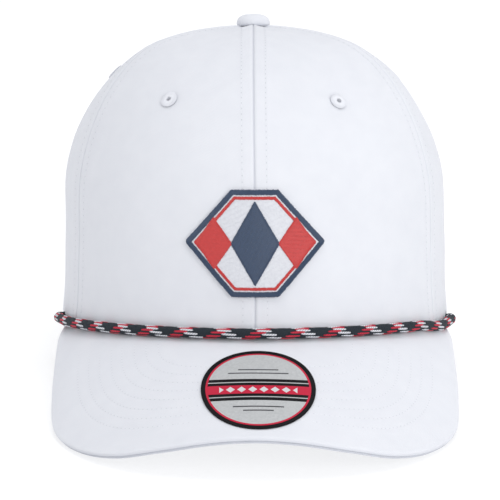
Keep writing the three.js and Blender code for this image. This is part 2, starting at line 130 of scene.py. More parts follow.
def finish_piece(bm, name, materials, slot, *stands_for):
    """Makes an object of the mesh, which rides on the cap and stands for its CAD nodes."""
    mesh = bpy.data.meshes.new(name)
    bm.to_mesh(mesh)
    bm.free()
    mesh.shade_smooth()
    mesh.set_sharp_from_angle(angle=SMOOTH_ANGLE)
    for material in materials:
        mesh.materials.append(material)
    piece = bpy.data.objects.new(name, mesh)
    scene.collection.objects.link(piece)
    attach(piece, "root")
    if stands_for:
        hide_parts(*stands_for)
    mesh.calc_loop_triangles()
    print(f"{name}: {len(mesh.loop_triangles)} triangles")
    return piece


# %% [markdown]
# ## Shared effects for the materials
#
# Cloth, tape and band all need a weave, and everything sewn needs the twist of a thread. Each of these is a node
# group, made once, with its sizes as inputs. It gives a height for the bump and a tone for the colour, and the
# shader itself stays in each material.

# %% Node group helpers
def new_group(name, inputs, outputs):
    group = bpy.data.node_groups.new(name, "ShaderNodeTree")
    for label, kind, value in inputs:
        socket = group.interface.new_socket(label, in_out="INPUT", socket_type=kind)
        if value is not None:
            socket.default_value = value
    for label in outputs:
        group.interface.new_socket(label, in_out="OUTPUT", socket_type="NodeSocketFloat")
    return group, group.nodes.new("NodeGroupInput"), group.nodes.new("NodeGroupOutput")


def node(tree, kind, inputs=None, **settings):
    """A node with its settings, and each input either a value or the output that feeds it."""
    made = tree.nodes.new(kind)
    for key, value in settings.items():
        setattr(made, key, value)
    for key, value in (inputs or {}).items():
        if isinstance(value, bpy.types.NodeSocket):
            tree.links.new(value, made.inputs[key])
        else:
            made.inputs[key].default_value = value
    return made


def math_node(tree, operation, a, b=0.0, c=0.0):
    inputs = {0: a, 1: b}
    if operation in ("MULTIPLY_ADD", "SMOOTH_MIN", "WRAP", "COMPARE"):
        inputs[2] = c
    return node(tree, "ShaderNodeMath", inputs, operation=operation).outputs[0]


# %% Twill weave
def make_twill_group():
    group, source, result = new_group(
        "twill",
        [
            ("Place", "NodeSocketVector", None),
            ("Ribs per mm", "NodeSocketFloat", 1.8),
            ("Unevenness", "NodeSocketFloat", 0.35),
        ],
        ["Height", "Tone"],
    )
    place, ribs, uneven = source.outputs["Place"], source.outputs["Ribs per mm"], source.outputs["Unevenness"]
    drift = node(group, "ShaderNodeTexNoise", {"Vector": place, "Scale": 0.35, "Detail": 2.0}).outputs["Fac"]
    parts = node(group, "ShaderNodeSeparateXYZ", {0: place})
    across = math_node(group, "MULTIPLY_ADD", math_node(group, "SUBTRACT", drift, 0.5), uneven, parts.outputs["X"])
    slant = math_node(group, "MULTIPLY_ADD", parts.outputs["Y"], 0.62, across)
    turn = math_node(group, "MULTIPLY", slant, math_node(group, "MULTIPLY", ribs, 2 * math.pi))
    rib = math_node(group, "MULTIPLY_ADD", math_node(group, "SINE", turn), 0.5, 0.5)
    weft_turn = math_node(group, "MULTIPLY", parts.outputs["Y"], math_node(group, "MULTIPLY", ribs, 3.2 * math.pi))
    weft = math_node(group, "MULTIPLY_ADD", math_node(group, "SINE", weft_turn), 0.5, 0.5)
    fine = math_node(group, "MULTIPLY_ADD", weft, 0.35, math_node(group, "MULTIPLY", rib, 0.65))
    fibre = node(group, "ShaderNodeTexNoise", {"Vector": place, "Scale": 6.0, "Detail": 3.0}).outputs["Fac"]
    height = math_node(group, "MULTIPLY_ADD", fibre, 0.3, math_node(group, "MULTIPLY", fine, 0.7))
    slub = node(group, "ShaderNodeTexNoise", {"Vector": place, "Scale": 0.12, "Detail": 3.0}).outputs["Fac"]
    # The tone follows the height: the weave's low places are painted darker as painted shade, plus a slow random slub
    # of the yarn
    tone = math_node(group, "MULTIPLY_ADD", math_node(group, "SUBTRACT", slub, 0.5), 0.6, height)
    group.links.new(height, result.inputs["Height"])
    group.links.new(tone, result.inputs["Tone"])
    return group


twill_group = make_twill_group()
print("node group:", twill_group.name)


# %% Twisted thread
def make_thread_group():
    group, source, result = new_group(
        "twisted_thread",
        [
            ("Place", "NodeSocketVector", None),
            ("Turns per mm", "NodeSocketFloat", 1.0),
            ("Slant", "NodeSocketFloat", 1.0),
        ],
        ["Height", "Tone"],
    )
    place = source.outputs["Place"]
    parts = node(group, "ShaderNodeSeparateXYZ", {0: place})
    slanted = math_node(group, "MULTIPLY_ADD", parts.outputs["Y"], source.outputs["Slant"], parts.outputs["X"])
    pace = math_node(group, "MULTIPLY", source.outputs["Turns per mm"], 2 * math.pi)
    turn = math_node(group, "MULTIPLY", slanted, pace)
    ply = math_node(group, "MULTIPLY_ADD", math_node(group, "SINE", turn), 0.5, 0.5)
    fibre = node(group, "ShaderNodeTexNoise", {"Vector": place, "Scale": 5.0, "Detail": 2.0}).outputs["Fac"]
    height = math_node(group, "MULTIPLY_ADD", fibre, 0.25, math_node(group, "MULTIPLY", ply, 0.75))
    group.links.new(height, result.inputs["Height"])
    group.links.new(height, result.inputs["Tone"])
    return group


thread_group = make_thread_group()
print("node group:", thread_group.name)


# %% Handling marks
def make_marks_group():
    group, source, result = new_group(
        "handling_marks",
        [("Place", "NodeSocketVector", None), ("Size", "NodeSocketFloat", 30.0)],
        ["Mask"],
    )
    cloud = node(
        group,
        "ShaderNodeTexNoise",
        {"Vector": source.outputs["Place"], "Scale": source.outputs["Size"], "Detail": 4.0, "Roughness": 0.55},
    ).outputs["Fac"]
    mask = node(
        group, "ShaderNodeMapRange", {"Value": cloud, "From Min": 0.38, "From Max": 0.7, "To Min": 0.0, "To Max": 1.0}
    ).outputs[0]
    group.links.new(mask, result.inputs["Mask"])
    return group


marks_group = make_marks_group()
print("node group:", marks_group.name)


# %% [markdown]
# ## Cloth materials
#
# White cap cloth is matt, very slightly blue, and soft at grazing angles, which the sheen gives. The weave
# reads the flat place kept on the mesh, so its ribs follow each panel as the cutter laid it. Its tone is partly
# painted shade in the weave's low places and partly a slow random unevenness of the yarn. Folds are painted a
# shade darker, as painted shade where less light reaches them, and needle holes are grey dots of painted shade.

# %% Cloth materials
def new_material(name):
    material = bpy.data.materials.new(name)
    material.use_nodes = True
    material.node_tree.nodes.clear()
    return material, material.node_tree


def place_group(tree, group, inputs):
    placed = node(tree, "ShaderNodeGroup", node_tree=group)
    for key, value in inputs.items():
        if isinstance(value, bpy.types.NodeSocket):
            tree.links.new(value, placed.inputs[key])
        else:
            placed.inputs[key].default_value = value
    return placed


def attribute(tree, name, output):
    return node(tree, "ShaderNodeAttribute", attribute_name=name).outputs[output]


def mix_colour(tree, factor, a, b):
    mixed = node(tree, "ShaderNodeMix", data_type="RGBA", clamp_factor=True)
    for socket, value in ((mixed.inputs[0], factor), (mixed.inputs[6], a), (mixed.inputs[7], b)):
        if isinstance(value, bpy.types.NodeSocket):
            tree.links.new(value, socket)
        else:
            socket.default_value = value
    return mixed.outputs[2]


def shade(tree, colour, roughness, height, depth, strength=1.0, **sockets):
    """The Principled shader with a bump of that depth in metres, and its plain values on its own sockets."""
    inputs = {"Base Color": colour, "Roughness": roughness}
    inputs.update({key.replace("_", " "): value for key, value in sockets.items()})
    shader = node(tree, "ShaderNodeBsdfPrincipled", inputs)
    if height is not None:
        bump = node(tree, "ShaderNodeBump", {"Height": height, "Distance": depth, "Strength": strength})
        tree.links.new(bump.outputs["Normal"], shader.inputs["Normal"])
    node(tree, "ShaderNodeOutputMaterial", {"Surface": shader.outputs[0]})


def make_cloth(name, light, dark, ribs, depth, sheen):
    material, tree = new_material(name)
    weave = place_group(tree, twill_group, {"Place": attribute(tree, "flat", "Vector"), "Ribs per mm": ribs})
    own_place = node(tree, "ShaderNodeTexCoord").outputs["Object"]
    marks = place_group(tree, marks_group, {"Place": own_place, "Size": 26.0})
    # The weave's tone is partly painted shade, darker in the weave's low places, and partly the yarn's random
    # unevenness
    toned = mix_colour(tree, weave.outputs["Tone"], dark, light)
    # Painted shade: the fold attribute darkens seams, folds and grooves towards a blue grey; the handling marks add a
    # faint real soiling
    fold = attribute(tree, "fold", "Fac")
    painted_shade_and_marks = math_node(tree, "MULTIPLY_ADD", marks.outputs["Mask"], 0.05, math_node(tree, "MULTIPLY", fold, 0.45))
    colour = mix_colour(tree, painted_shade_and_marks, toned, (0.42, 0.44, 0.5, 1))
    roughness = math_node(tree, "MULTIPLY_ADD", weave.outputs["Height"], 0.12, 0.78)
    shade(
        tree, colour, roughness, weave.outputs["Height"], depth,
        Sheen_Weight=sheen, Sheen_Roughness=0.45, Specular_IOR_Level=0.25,
    )
    return material


crown_cloth = make_cloth("crown_cloth", (0.775, 0.785, 0.815, 1), (0.69, 0.703, 0.745, 1), 1.9, 0.00009, 0.12)
tape_cloth = make_cloth("tape_cloth", (0.76, 0.77, 0.8, 1), (0.67, 0.685, 0.72, 1), 2.4, 0.00006, 0.1)
band_cloth = make_cloth("band_cloth", (0.73, 0.74, 0.77, 1), (0.64, 0.655, 0.69, 1), 1.3, 0.00012, 0.15)
print("cloth materials:", crown_cloth.name, tape_cloth.name, band_cloth.name)

# %% [markdown]
# ## The round of the crown
#
# The crown's outer face comes from one table of sections, read smoothly from the rim up to the button. The
# same formulas made the CAD model, so a panel that is laid on them lies where its CAD piece does. Only the soft
# cloth's own fullness is added: a millimetre at the shoulders and the top, and a slight drift to one side. An
# angle runs round the oval from the middle of the front, and a row runs up the table.

# %% Crown surface
RIM_HALF_WIDTH = 85.0
RIM_REACH = 106.0
CROWN_HEIGHT = 132.0
APEX_LEAN = math.radians(12)
FRONT_RISE = 17.0
RISE_END = math.radians(98)
PANEL_FLATNESS = 1.2
SEAM_ANGLES = np.radians([-180, -122, -63, 0, 63, 122, 180])
SECTION_RISE = np.array([0, 0.15, 0.32, 0.5, 0.62, 0.73, 0.82, 0.89, 0.945, 0.985, 1])
SECTION_FRONT = np.array([1, 0.985, 0.95, 0.887, 0.81, 0.7, 0.565, 0.425, 0.285, 0.14, 0])
SECTION_SIDE = np.array([1, 0.985, 0.977, 0.965, 0.918, 0.84, 0.745, 0.635, 0.49, 0.26, 0])
SECTION_BACK = np.array([1, 1.005, 0.985, 0.94, 0.885, 0.82, 0.74, 0.645, 0.5, 0.27, 0])
LAST_ROW = len(SECTION_RISE) - 1
SHOULDER_FULLNESS = 0.018
TOP_FULLNESS = 1.2
TOP_DRIFT = -0.7


def smooth_step(x, low, high):
    share = np.clip((np.asarray(x, float) - low) / (high - low), 0, 1)
    return share * share * (3 - 2 * share)


def read_column(column, row, before, after):
    """A smooth reading of a table's column between its rows."""
    padded = np.concatenate([[before], column, [after]])
    start = np.clip(np.floor(row), 0, len(column) - 2).astype(int)
    a, b, c, d = (padded[start + i] for i in range(4))
    t = row - start
    return b + 0.5 * t * (c - a + t * (2 * a - 5 * b + 4 * c - d + t * (3 * (b - c) + d - a)))


def rim_height(angle):
    return FRONT_RISE * np.cos(math.pi / 2 * np.minimum(np.abs(angle) / RISE_END, 1)) ** 1.2


def crown_round(angle, row):
    """Points of the crown's smooth round, in millimetres of the level cap."""
    angle, row = np.broadcast_arrays(np.asarray(angle, float), np.asarray(row, float))
    front = read_column(SECTION_FRONT, row, SECTION_FRONT[1], -SECTION_FRONT[-2])
    back = read_column(SECTION_BACK, row, SECTION_BACK[1], -SECTION_BACK[-2])
    side = read_column(SECTION_SIDE, row, SECTION_SIDE[1], -SECTION_SIDE[-2])
    rise = read_column(SECTION_RISE, row, -SECTION_RISE[1], SECTION_RISE[-2])
    x = RIM_HALF_WIDTH * side * np.sin(angle)
    y = -RIM_REACH * np.where(np.cos(angle) > 0, front, back) * np.cos(angle)
    foot = rim_height(angle)
    z = foot + (CROWN_HEIGHT - foot) * rise - y * smooth_step(rise, 0.4, 1) * math.tan(APEX_LEAN)
    x = x * (1 + SHOULDER_FULLNESS * smooth_step(rise, 0.3, 0.75)) + TOP_DRIFT * smooth_step(rise, 0.3, 0.85)
    z = z + TOP_FULLNESS * smooth_step(rise, 0.72, 1.0)
    return np.stack([x, y, z], -1)


def unit(vectors):
    return vectors / np.linalg.norm(vectors, axis=-1, keepdims=True)


def crown_normal(angle, row):
    step = 1e-3
    row = np.asarray(row, float)
    up = crown_round(angle, row + step) - crown_round(angle, np.maximum(row - step, 0))
    up = np.where((row < step)[..., None], np.array([0.0, 0.0, 1.0]), up)
    around = crown_round(angle + step, row) - crown_round(angle - step, row)
    return unit(np.cross(around, up))


def panel_sink(angle):
    wrapped = (np.asarray(angle) + math.pi) % (2 * math.pi) - math.pi
    after = np.clip(np.searchsorted(SEAM_ANGLES, wrapped, side="right"), 1, 6)
    share = (wrapped - SEAM_ANGLES[after - 1]) / (SEAM_ANGLES[after] - SEAM_ANGLES[after - 1])
    return PANEL_FLATNESS * np.sin(math.pi * share)


def crown_point(angle, row, depth=0.0):
    """A point at a depth under the outer face, negative for what lies on it."""
    sunk = np.asarray(depth + panel_sink(angle))
    return crown_round(angle, row) - crown_normal(angle, row) * sunk[..., None]


def solve(rising, target, low, high):
    """Where a rising function passes its target, for many values at once."""
    low, high = np.broadcast_arrays(np.asarray(low, float), np.asarray(high, float))
    for _ in range(34):
        middle = (low + high) / 2
        under = rising(middle) < target
        low, high = np.where(under, middle, low), np.where(under, high, middle)
    return (low + high) / 2


def row_at_height(angle, height):
    angle, height = np.broadcast_arrays(np.asarray(angle, float), np.asarray(height, float))
    return solve(lambda row: crown_round(angle, row)[..., 2], height, np.zeros(angle.shape), LAST_ROW * 0.7)


def row_at_distance(angle, distance):
    angle = np.asarray(angle, float)
    plan = lambda row: -np.linalg.norm(crown_round(angle, row)[..., :2], axis=-1)
    return solve(plan, -distance, np.zeros(angle.shape), LAST_ROW)


def crown_front(x, height, depth=0.0):
    """A point of the front, given how far it lies to the side and how high."""
    x, height = np.broadcast_arrays(np.asarray(x, float), np.asarray(height, float))

    def angle_at(row):
        return np.arcsin(x / (RIM_HALF_WIDTH * read_column(SECTION_SIDE, row, SECTION_SIDE[1], -SECTION_SIDE[-2])))

    row = solve(lambda r: crown_round(angle_at(r), r)[..., 2], height, np.zeros(x.shape), LAST_ROW * 0.7)
    return crown_point(angle_at(row), row, depth)


print("top of the crown:", crown_round(0.0, LAST_ROW).round(1))

# %% [markdown]
# ## Crown panels
#
# Each panel is one curved leaf of cloth. A flat grid has just the right threads for it: its columns run up from
# the rim to the button and its rows run across. The columns stand close together beside the seams, where the
# cloth turns in and the seam allowance underneath lifts a soft band, and wide apart in the middle. The front
# panels are stiffened and stay smooth, while the others show a few soft waves.

# %% Panel helpers
SEAM_COLUMNS = np.array([0, 0.25, 0.5, 0.8, 1.2, 1.7, 2.4, 3.1, 3.8, 4.3, 4.7, 5.0, 5.3, 5.7, 6.3, 7.2])
MIDDLE_COLUMNS = 52
PANEL_ROWS = 120
CLOTH_THICKNESS = 1.8
STITCH_FROM_SEAM = 5.0
EYELET_HOLE = 1.9


def seam_profile(distance):
    """How the cloth stands at a distance from a seam: turned in, then lifted by the allowance, then sewn down."""
    valley = -0.55 * np.exp(-((distance / 0.4) ** 2))
    band = 0.16 * (smooth_step(distance, 0.2, 1.4) - smooth_step(distance, 5.0, 7.2))
    groove = -0.07 * np.exp(-(((distance - STITCH_FROM_SEAM) / 0.6) ** 2))
    return valley + band + groove


# Painted shade beside a seam: most in the seam's valley, a little in the stitch groove
def seam_shade(distance):
    return 0.8 * np.exp(-((distance / 0.35) ** 2)) + 0.1 * np.exp(-(((distance - STITCH_FROM_SEAM) / 0.4) ** 2))


def soft_noise(points, size, seed):
    """A gentle noise between about -1 and 1, with waves of that size in millimetres."""
    shift = Vector((13.7 * seed, -7.1 * seed, 3.3 * seed))
    return np.array([noise.noise(Vector(point) / size + shift) for point in np.asarray(points)])


def columns_across(width, count):
    """Distances of a row's columns from its left seam."""
    squeeze = min(1.0, width / 20)
    near = SEAM_COLUMNS * squeeze
    middle = np.linspace(near[-1], width - near[-1], count + 2 - 2 * len(near) + 1)[1:-1]
    return np.concatenate([near, middle, width - near[::-1]])


COLUMN_CELLS = MIDDLE_COLUMNS + 2 * len(SEAM_COLUMNS) - 1


def cloth_leaf(start, end, relief, top_distance=2.6):
    """A flat grid laid on the crown between two seams. relief gives how far each point stands out and its fold, the
    amount of painted shade.
    """
    bm = bmesh.new()
    bmesh.ops.create_grid(bm, x_segments=COLUMN_CELLS, y_segments=PANEL_ROWS, size=1)
    flat = read_verts(bm)
    column = np.rint((flat[:, 0] + 1) / 2 * COLUMN_CELLS).astype(int)
    line = np.rint((flat[:, 1] + 1) / 2 * PANEL_ROWS).astype(int)
    top_row = float(row_at_distance((start + end) / 2, top_distance))
    angles = np.linspace(start, end, 97)
    places, cloth, folds = (np.zeros((len(flat), 3)), np.zeros((len(flat), 2)), np.zeros(len(flat)))
    middle_rows = crown_round((start + end) / 2, np.linspace(0, top_row, PANEL_ROWS + 1))
    risen = np.concatenate([[0], np.cumsum(np.linalg.norm(np.diff(middle_rows, axis=0), axis=1))])
    for j in range(PANEL_ROWS + 1):
        row = top_row * j / PANEL_ROWS
        chord = np.linalg.norm(np.diff(crown_round(angles, row), axis=0), axis=1)
        run = np.concatenate([[0], np.cumsum(chord)])
        width = run[-1]
        at = columns_across(width, COLUMN_CELLS)
        angle = np.interp(at, run, angles)
        outer = crown_point(angle, row)
        stretch = min(1.0, width / 20)
        nearest = np.minimum(at, width - at) / stretch
        out, fold = relief(outer, nearest, risen[j])
        mine = line == j
        picked = column[mine]
        places[mine] = (outer + crown_normal(angle, row) * out[:, None])[picked]
        cloth[mine] = np.stack([at - width / 2, np.full(len(at), risen[j])], -1)[picked]
        folds[mine] = fold[picked]
    move_verts(bm.verts, places)
    note_cloth(bm, cloth, folds)
    return bm


def open_hole(bm, centre, radius):
    """Takes the faces over a hole away and draws the cloth's edge to its circle."""
    centre = Vector(centre)
    inside = [face for face in bm.faces if (face.calc_center_median() - centre).length < radius]
    ring = {vert for face in inside for vert in face.verts}
    bmesh.ops.delete(bm, geom=inside, context="FACES")
    for vert in ring:
        if vert.is_valid and vert.is_boundary:
            vert.co = centre + (vert.co - centre).normalized() * radius


print("columns in a panel:", COLUMN_CELLS + 1, "rows:", PANEL_ROWS + 1)

# %% Where the eyelets and the rope's holes are
EYELETS = {"front": (30.0, 71.0), "side": (92.5, 61.0), "back": (151.0, 71.0)}
ROPE_RADIUS = 2.25
PEAK_THICKNESS = 3.1
ROPE_LIFT = ROPE_RADIUS + 0.3
ROPE_END = math.radians(78)


def rope_height(angle):
    return rim_height(angle) + PEAK_THICKNESS + ROPE_LIFT


def eyelet_spot(panel, side):
    degrees, reach = EYELETS[panel]
    angle = np.float64(side * math.radians(degrees))
    row = row_at_distance(angle, reach)
    return crown_point(angle, row), crown_normal(angle, row)


def rope_hole(side):
    angle = np.float64(side * ROPE_END)
    row = row_at_height(angle, rope_height(angle))
    return crown_point(angle, row), crown_normal(angle, row)


ARCH_HALF_WIDTH = 36.0
ARCH_HEIGHT = 48.0


def arch_height_at(x):
    """Height of the back opening's edge over a place along the rim."""
    return ARCH_HEIGHT * np.maximum(1 - (x / ARCH_HALF_WIDTH) ** 2, 0) ** 0.4


# %% Sew the six panels
PANELS = {"front": (0.0, 63.0), "side": (63.0, 122.0), "back": (122.0, 180.0)}
WAVES = {"front": 0.22, "side": 0.45, "back": 0.5}


def panel_relief(kind, seed, eyelet, hem):
    """How one panel's cloth stands out, with seams, hem, the pull of the eyelet and soft waves, and where it gets
    painted shade.
    """

    def relief(outer, nearest, risen):
        puckers = soft_noise(outer * [1, 1, 1.6], 3.6, seed) * 0.07 * np.exp(-((nearest - 2.6) / 1.6) ** 2)
        waves = soft_noise(outer, 34, seed + 5) * WAVES[kind] + soft_noise(outer, 15, seed + 9) * WAVES[kind] * 0.28
        waves = waves * smooth_step(nearest, 3, 16)
        from_eyelet = np.linalg.norm(outer - eyelet, axis=1)
        pull = -0.28 * np.exp(-(((from_eyelet - 3.7) / 1.1) ** 2))
        out = seam_profile(nearest) + puckers + waves + pull
        # fold sets painted shade: in the seam valleys, the stitch grooves and a soft shadow ring round the eyelet
        fold = seam_shade(nearest) + 0.25 * np.exp(-(((from_eyelet - 3.7) / 0.5) ** 2))
        if hem:
            out = out - 0.6 * np.exp(-((risen / 0.5) ** 2)) - 0.28 * np.exp(-(((risen - 6.0) / 0.5) ** 2))
            # Painted shade in the hem's stitch groove
            fold = fold + 0.3 * np.exp(-(((risen - 6.0) / 0.45) ** 2))
        return out, fold

    return relief


def sew_panel(kind, side):
    start, end = (math.radians(side * degrees) for degrees in PANELS[kind])
    eyelet, _ = eyelet_spot(kind, side)
    seed = list(PANELS).index(kind) * 2 + (side > 0)
    bm = cloth_leaf(min(start, end), max(start, end), panel_relief(kind, seed, eyelet, kind != "front"))
    open_hole(bm, eyelet, EYELET_HOLE)
    if kind == "side":
        open_hole(bm, rope_hole(side)[0], ROPE_RADIUS + 0.45)
    if kind == "back":
        low = [f for f in bm.faces if f.calc_center_median().z < arch_height_at(f.calc_center_median().x) + 0.4]
        bmesh.ops.delete(bm, geom=low, context="FACES")
    bmesh.ops.solidify(bm, geom=bm.faces[:], thickness=CLOTH_THICKNESS)
    move_verts(bm.verts, stand_up(read_verts(bm)))
    face_outwards(bm)
    name = f"{kind}_{'left' if side > 0 else 'right'}"
    return finish_piece(bm, f"cloth_{name}", [crown_cloth], "crown_cloth", f"crown_panel_{name}")


for kind in PANELS:
    for side in (1, -1):
        sew_panel(kind, side)

# %% [markdown]
# ## Stitches
#
# A machine stitch shows as a short grain of thread that sinks into the cloth at both ends. Each one here is a
# small ball from `create_uvsphere`, stretched along its row by its own matrix, so that hundreds of them stay
# light. A row is a path on the cloth, cut into even steps.

# %% Stitch helpers
def walk(points, pitch):
    """Even steps along a path: places, directions and how far along each one is."""
    points = np.asarray(points, float)
    run = np.concatenate([[0], np.cumsum(np.linalg.norm(np.diff(points, axis=0), axis=1))])
    count = max(int(run[-1] / pitch), 1)
    marks = (np.arange(count) + 0.5) * run[-1] / count

    def at(mark):
        return np.stack([np.interp(mark, run, points[:, i]) for i in range(3)], -1)

    return at(marks), unit(at(marks + 0.2) - at(marks - 0.2)), marks


def grains(places, along, outs, length, width, height):
    """Grains of thread as rows of numbers: a place, three axes drawn out to size, and the length and width."""
    side = unit(np.cross(along, outs))
    up = np.cross(side, along)
    length, width = (np.broadcast_to(size, (len(places), 1)) for size in (length, width))
    return np.concatenate([places, side * width, up * height, along * length, length, width], axis=1)


def thread_mesh(rows, around=6, rings=5, full=1.0):
    """One grain from a small ball, doubled until there are enough, and every copy set in its own place."""
    ball = bmesh.new()
    flat_layer = ball.verts.layers.float_vector.new("flat")
    bmesh.ops.create_uvsphere(ball, u_segments=around, v_segments=rings, radius=0.5)
    bm = ball.copy()  # a fresh copy keeps its vertices in order, so the duplicates follow the same order
    ball.free()
    flat_layer = bm.verts.layers.float_vector["flat"]
    one = read_verts(bm)
    ring = np.linalg.norm(one[:, :2], axis=1, keepdims=True) * 2
    one[:, :2] *= np.where(ring > 1e-6, np.maximum(ring, 1e-6) ** (full - 1), 1)
    parts = [len(bm.verts), len(bm.edges), len(bm.faces)]
    made = 1
    while made < len(rows):
        more = min(made, len(rows) - made)
        for table in (bm.verts, bm.edges, bm.faces):
            table.ensure_lookup_table()
        copied = bm.verts[: more * parts[0]] + bm.edges[: more * parts[1]] + bm.faces[: more * parts[2]]
        bmesh.ops.duplicate(bm, geom=copied)
        made += more
    axes = rows[:, 3:12].reshape(-1, 3, 3)
    places = rows[:, None, :3] + np.einsum("vk,gkc->gvc", one, axes)
    move_verts(bm.verts, places.reshape(-1, 3))
    flat = np.stack([one[None, :, 2] * rows[:, 12:13], one[None, :, 0] * rows[:, 13:14]], -1).reshape(-1, 2)
    for vert, place in zip(bm.verts, flat):
        vert[flat_layer] = (place[0], place[1], 0)
    return bm, parts[2]


def stitch_row(points, normals, pitch=2.7, length=2.1, width=0.42, height=0.22, sunk=0.02):
    """The grains of one row of machine stitches along a path with its normals, and a small flat grey one at each
    needle hole, as painted shade.
    """
    places, along, marks = walk(points, pitch)
    run = np.concatenate([[0], np.cumsum(np.linalg.norm(np.diff(points, axis=0), axis=1))])
    outs = unit(np.stack([np.interp(marks, run, normals[:, i]) for i in range(3)], -1))
    stitches = grains(places - outs * sunk, along, outs, length, width, height)
    # Painted shade: a flat grey dot between stitches stands for the shadow in each needle hole
    holes = grains(places + along * pitch / 2 - outs * (sunk - 0.02), along, outs, 0.42, 0.4, 0.1)
    return np.stack([stitches, holes], 1).reshape(-1, stitches.shape[1])


def stitched_piece(name, rows):
    """One object of stitch rows: the thread in the first slot, the painted shade of the needle holes in the second.
    """
    bm, faces_each = thread_mesh(rows)
    for i, face in enumerate(bm.faces):
        face.material_index = i // faces_each % 2
    stand_mesh(bm)
    return finish_piece(bm, name, [white_thread, needle_hole_shade], "eyelet_thread")


def stand_mesh(bm):
    move_verts(bm.verts, stand_up(read_verts(bm)))


# %% Thread materials
def make_thread(name, light, dark, turns, depth, roughness, sheen, specular=0.4):
    material, tree = new_material(name)
    twist = place_group(
        tree, thread_group, {"Place": attribute(tree, "flat", "Vector"), "Turns per mm": turns, "Slant": 1.1}
    )
    # The twist's tone is painted shade: the ply's low places are darker than its crests
    colour = mix_colour(tree, twist.outputs["Tone"], dark, light)
    rough = math_node(tree, "MULTIPLY_ADD", twist.outputs["Height"], -0.12, roughness + 0.1)
    shade(
        tree, colour, rough, twist.outputs["Height"], depth,
        Sheen_Weight=sheen, Sheen_Roughness=0.4, Specular_IOR_Level=specular,
    )
    return material


white_thread = make_thread("white_thread", (0.8, 0.81, 0.84, 1), (0.7, 0.71, 0.75, 1), 1.4, 0.00005, 0.6, 0.08, 0.3)


def make_needle_hole_shade():
    material, tree = new_material("needle_hole_shade")
    own_place = node(tree, "ShaderNodeTexCoord").outputs["Object"]
    marks = place_group(tree, marks_group, {"Place": own_place, "Size": 400.0})
    # Painted shade: grey, mottled a little, for the shadow in a needle hole
    colour = mix_colour(tree, marks.outputs["Mask"], (0.58, 0.59, 0.63, 1), (0.5, 0.51, 0.55, 1))
    shade(tree, colour, 0.95, None, 0, Specular_IOR_Level=0.1)
    return material


needle_hole_shade = make_needle_hole_shade()

# %% [markdown]
# ## Topstitching on the crown
#
# Both sides of every seam are sewn down to the seam allowance, five millimetres from the seam, so two rows of
# stitches run up to the button on each seam. One more row runs round the hem of the side and back panels.

# %% Topstitching
def seam_row_path(seam, other, rows):
    """A path at the stitch's distance from a seam, towards the next seam, with its normals."""
    lift = float(seam_profile(np.array([STITCH_FROM_SEAM]))[0]) + 0.06
    path, normals = [], []
    for row in rows:
        angles = np.linspace(seam, other, 97)
        chord = np.linalg.norm(np.diff(crown_round(angles, row), axis=0), axis=1)
        run = np.concatenate([[0], np.cumsum(chord)])
        angle = np.interp(STITCH_FROM_SEAM * min(1.0, run[-1] / 20), run, angles)
        normals.append(crown_normal(angle, row))
        path.append(crown_point(angle, row) + normals[-1] * lift)
    return np.array(path), np.array(normals)


def hem_row_path(side):
    start, end = math.radians(80), math.pi - math.asin((ARCH_HALF_WIDTH + 7.5) / RIM_HALF_WIDTH)
    angles = side * np.linspace(start, end, 120)
    rows = row_at_height(angles, rim_height(angles) + 6.0)
    normals = crown_normal(angles, rows)
    return crown_point(angles, rows) - normals * 0.2, normals


def topstitch_crown():
    rows = []
    for first, last in zip((-180, -122, -63, 0, 63, 122), (-122, -63, 0, 63, 122, 180)):
        for degrees, other in ((first, last), (last, first)):
            seam = math.radians(degrees)
            foot = 0.05
            if abs(degrees) == 180:
                foot = float(row_at_height(math.pi, ARCH_HEIGHT + 7.5))
            if abs(degrees) < 70:
                foot = float(row_at_height(seam, rope_height(np.float64(seam)) - 1))
            top = float(row_at_distance(seam, 8.5))
            rows.append(stitch_row(*seam_row_path(seam, math.radians(other), np.linspace(foot, top, 160))))
    rows += [stitch_row(*hem_row_path(side), pitch=3.0) for side in (-1, 1)]
    rows = np.concatenate(rows)
    print("stitches on the crown:", len(rows) // 2)
    return stitched_piece("topstitching_crown", rows)


topstitch_crown()

# %% [markdown]
# ## Eyelets
#
# Each air hole is bound with close buttonhole stitches that run out from the hole like the spokes of a wheel.
# One stitch is a grain of thread, copied once for each turn round the hole, over a thin ring spun with
# `spin` that hides the cloth's cut edge.

# %% Eyelets
EYELET_BORE = 1.2
EYELET_REACH = 3.5
EYELET_STITCHES = 34


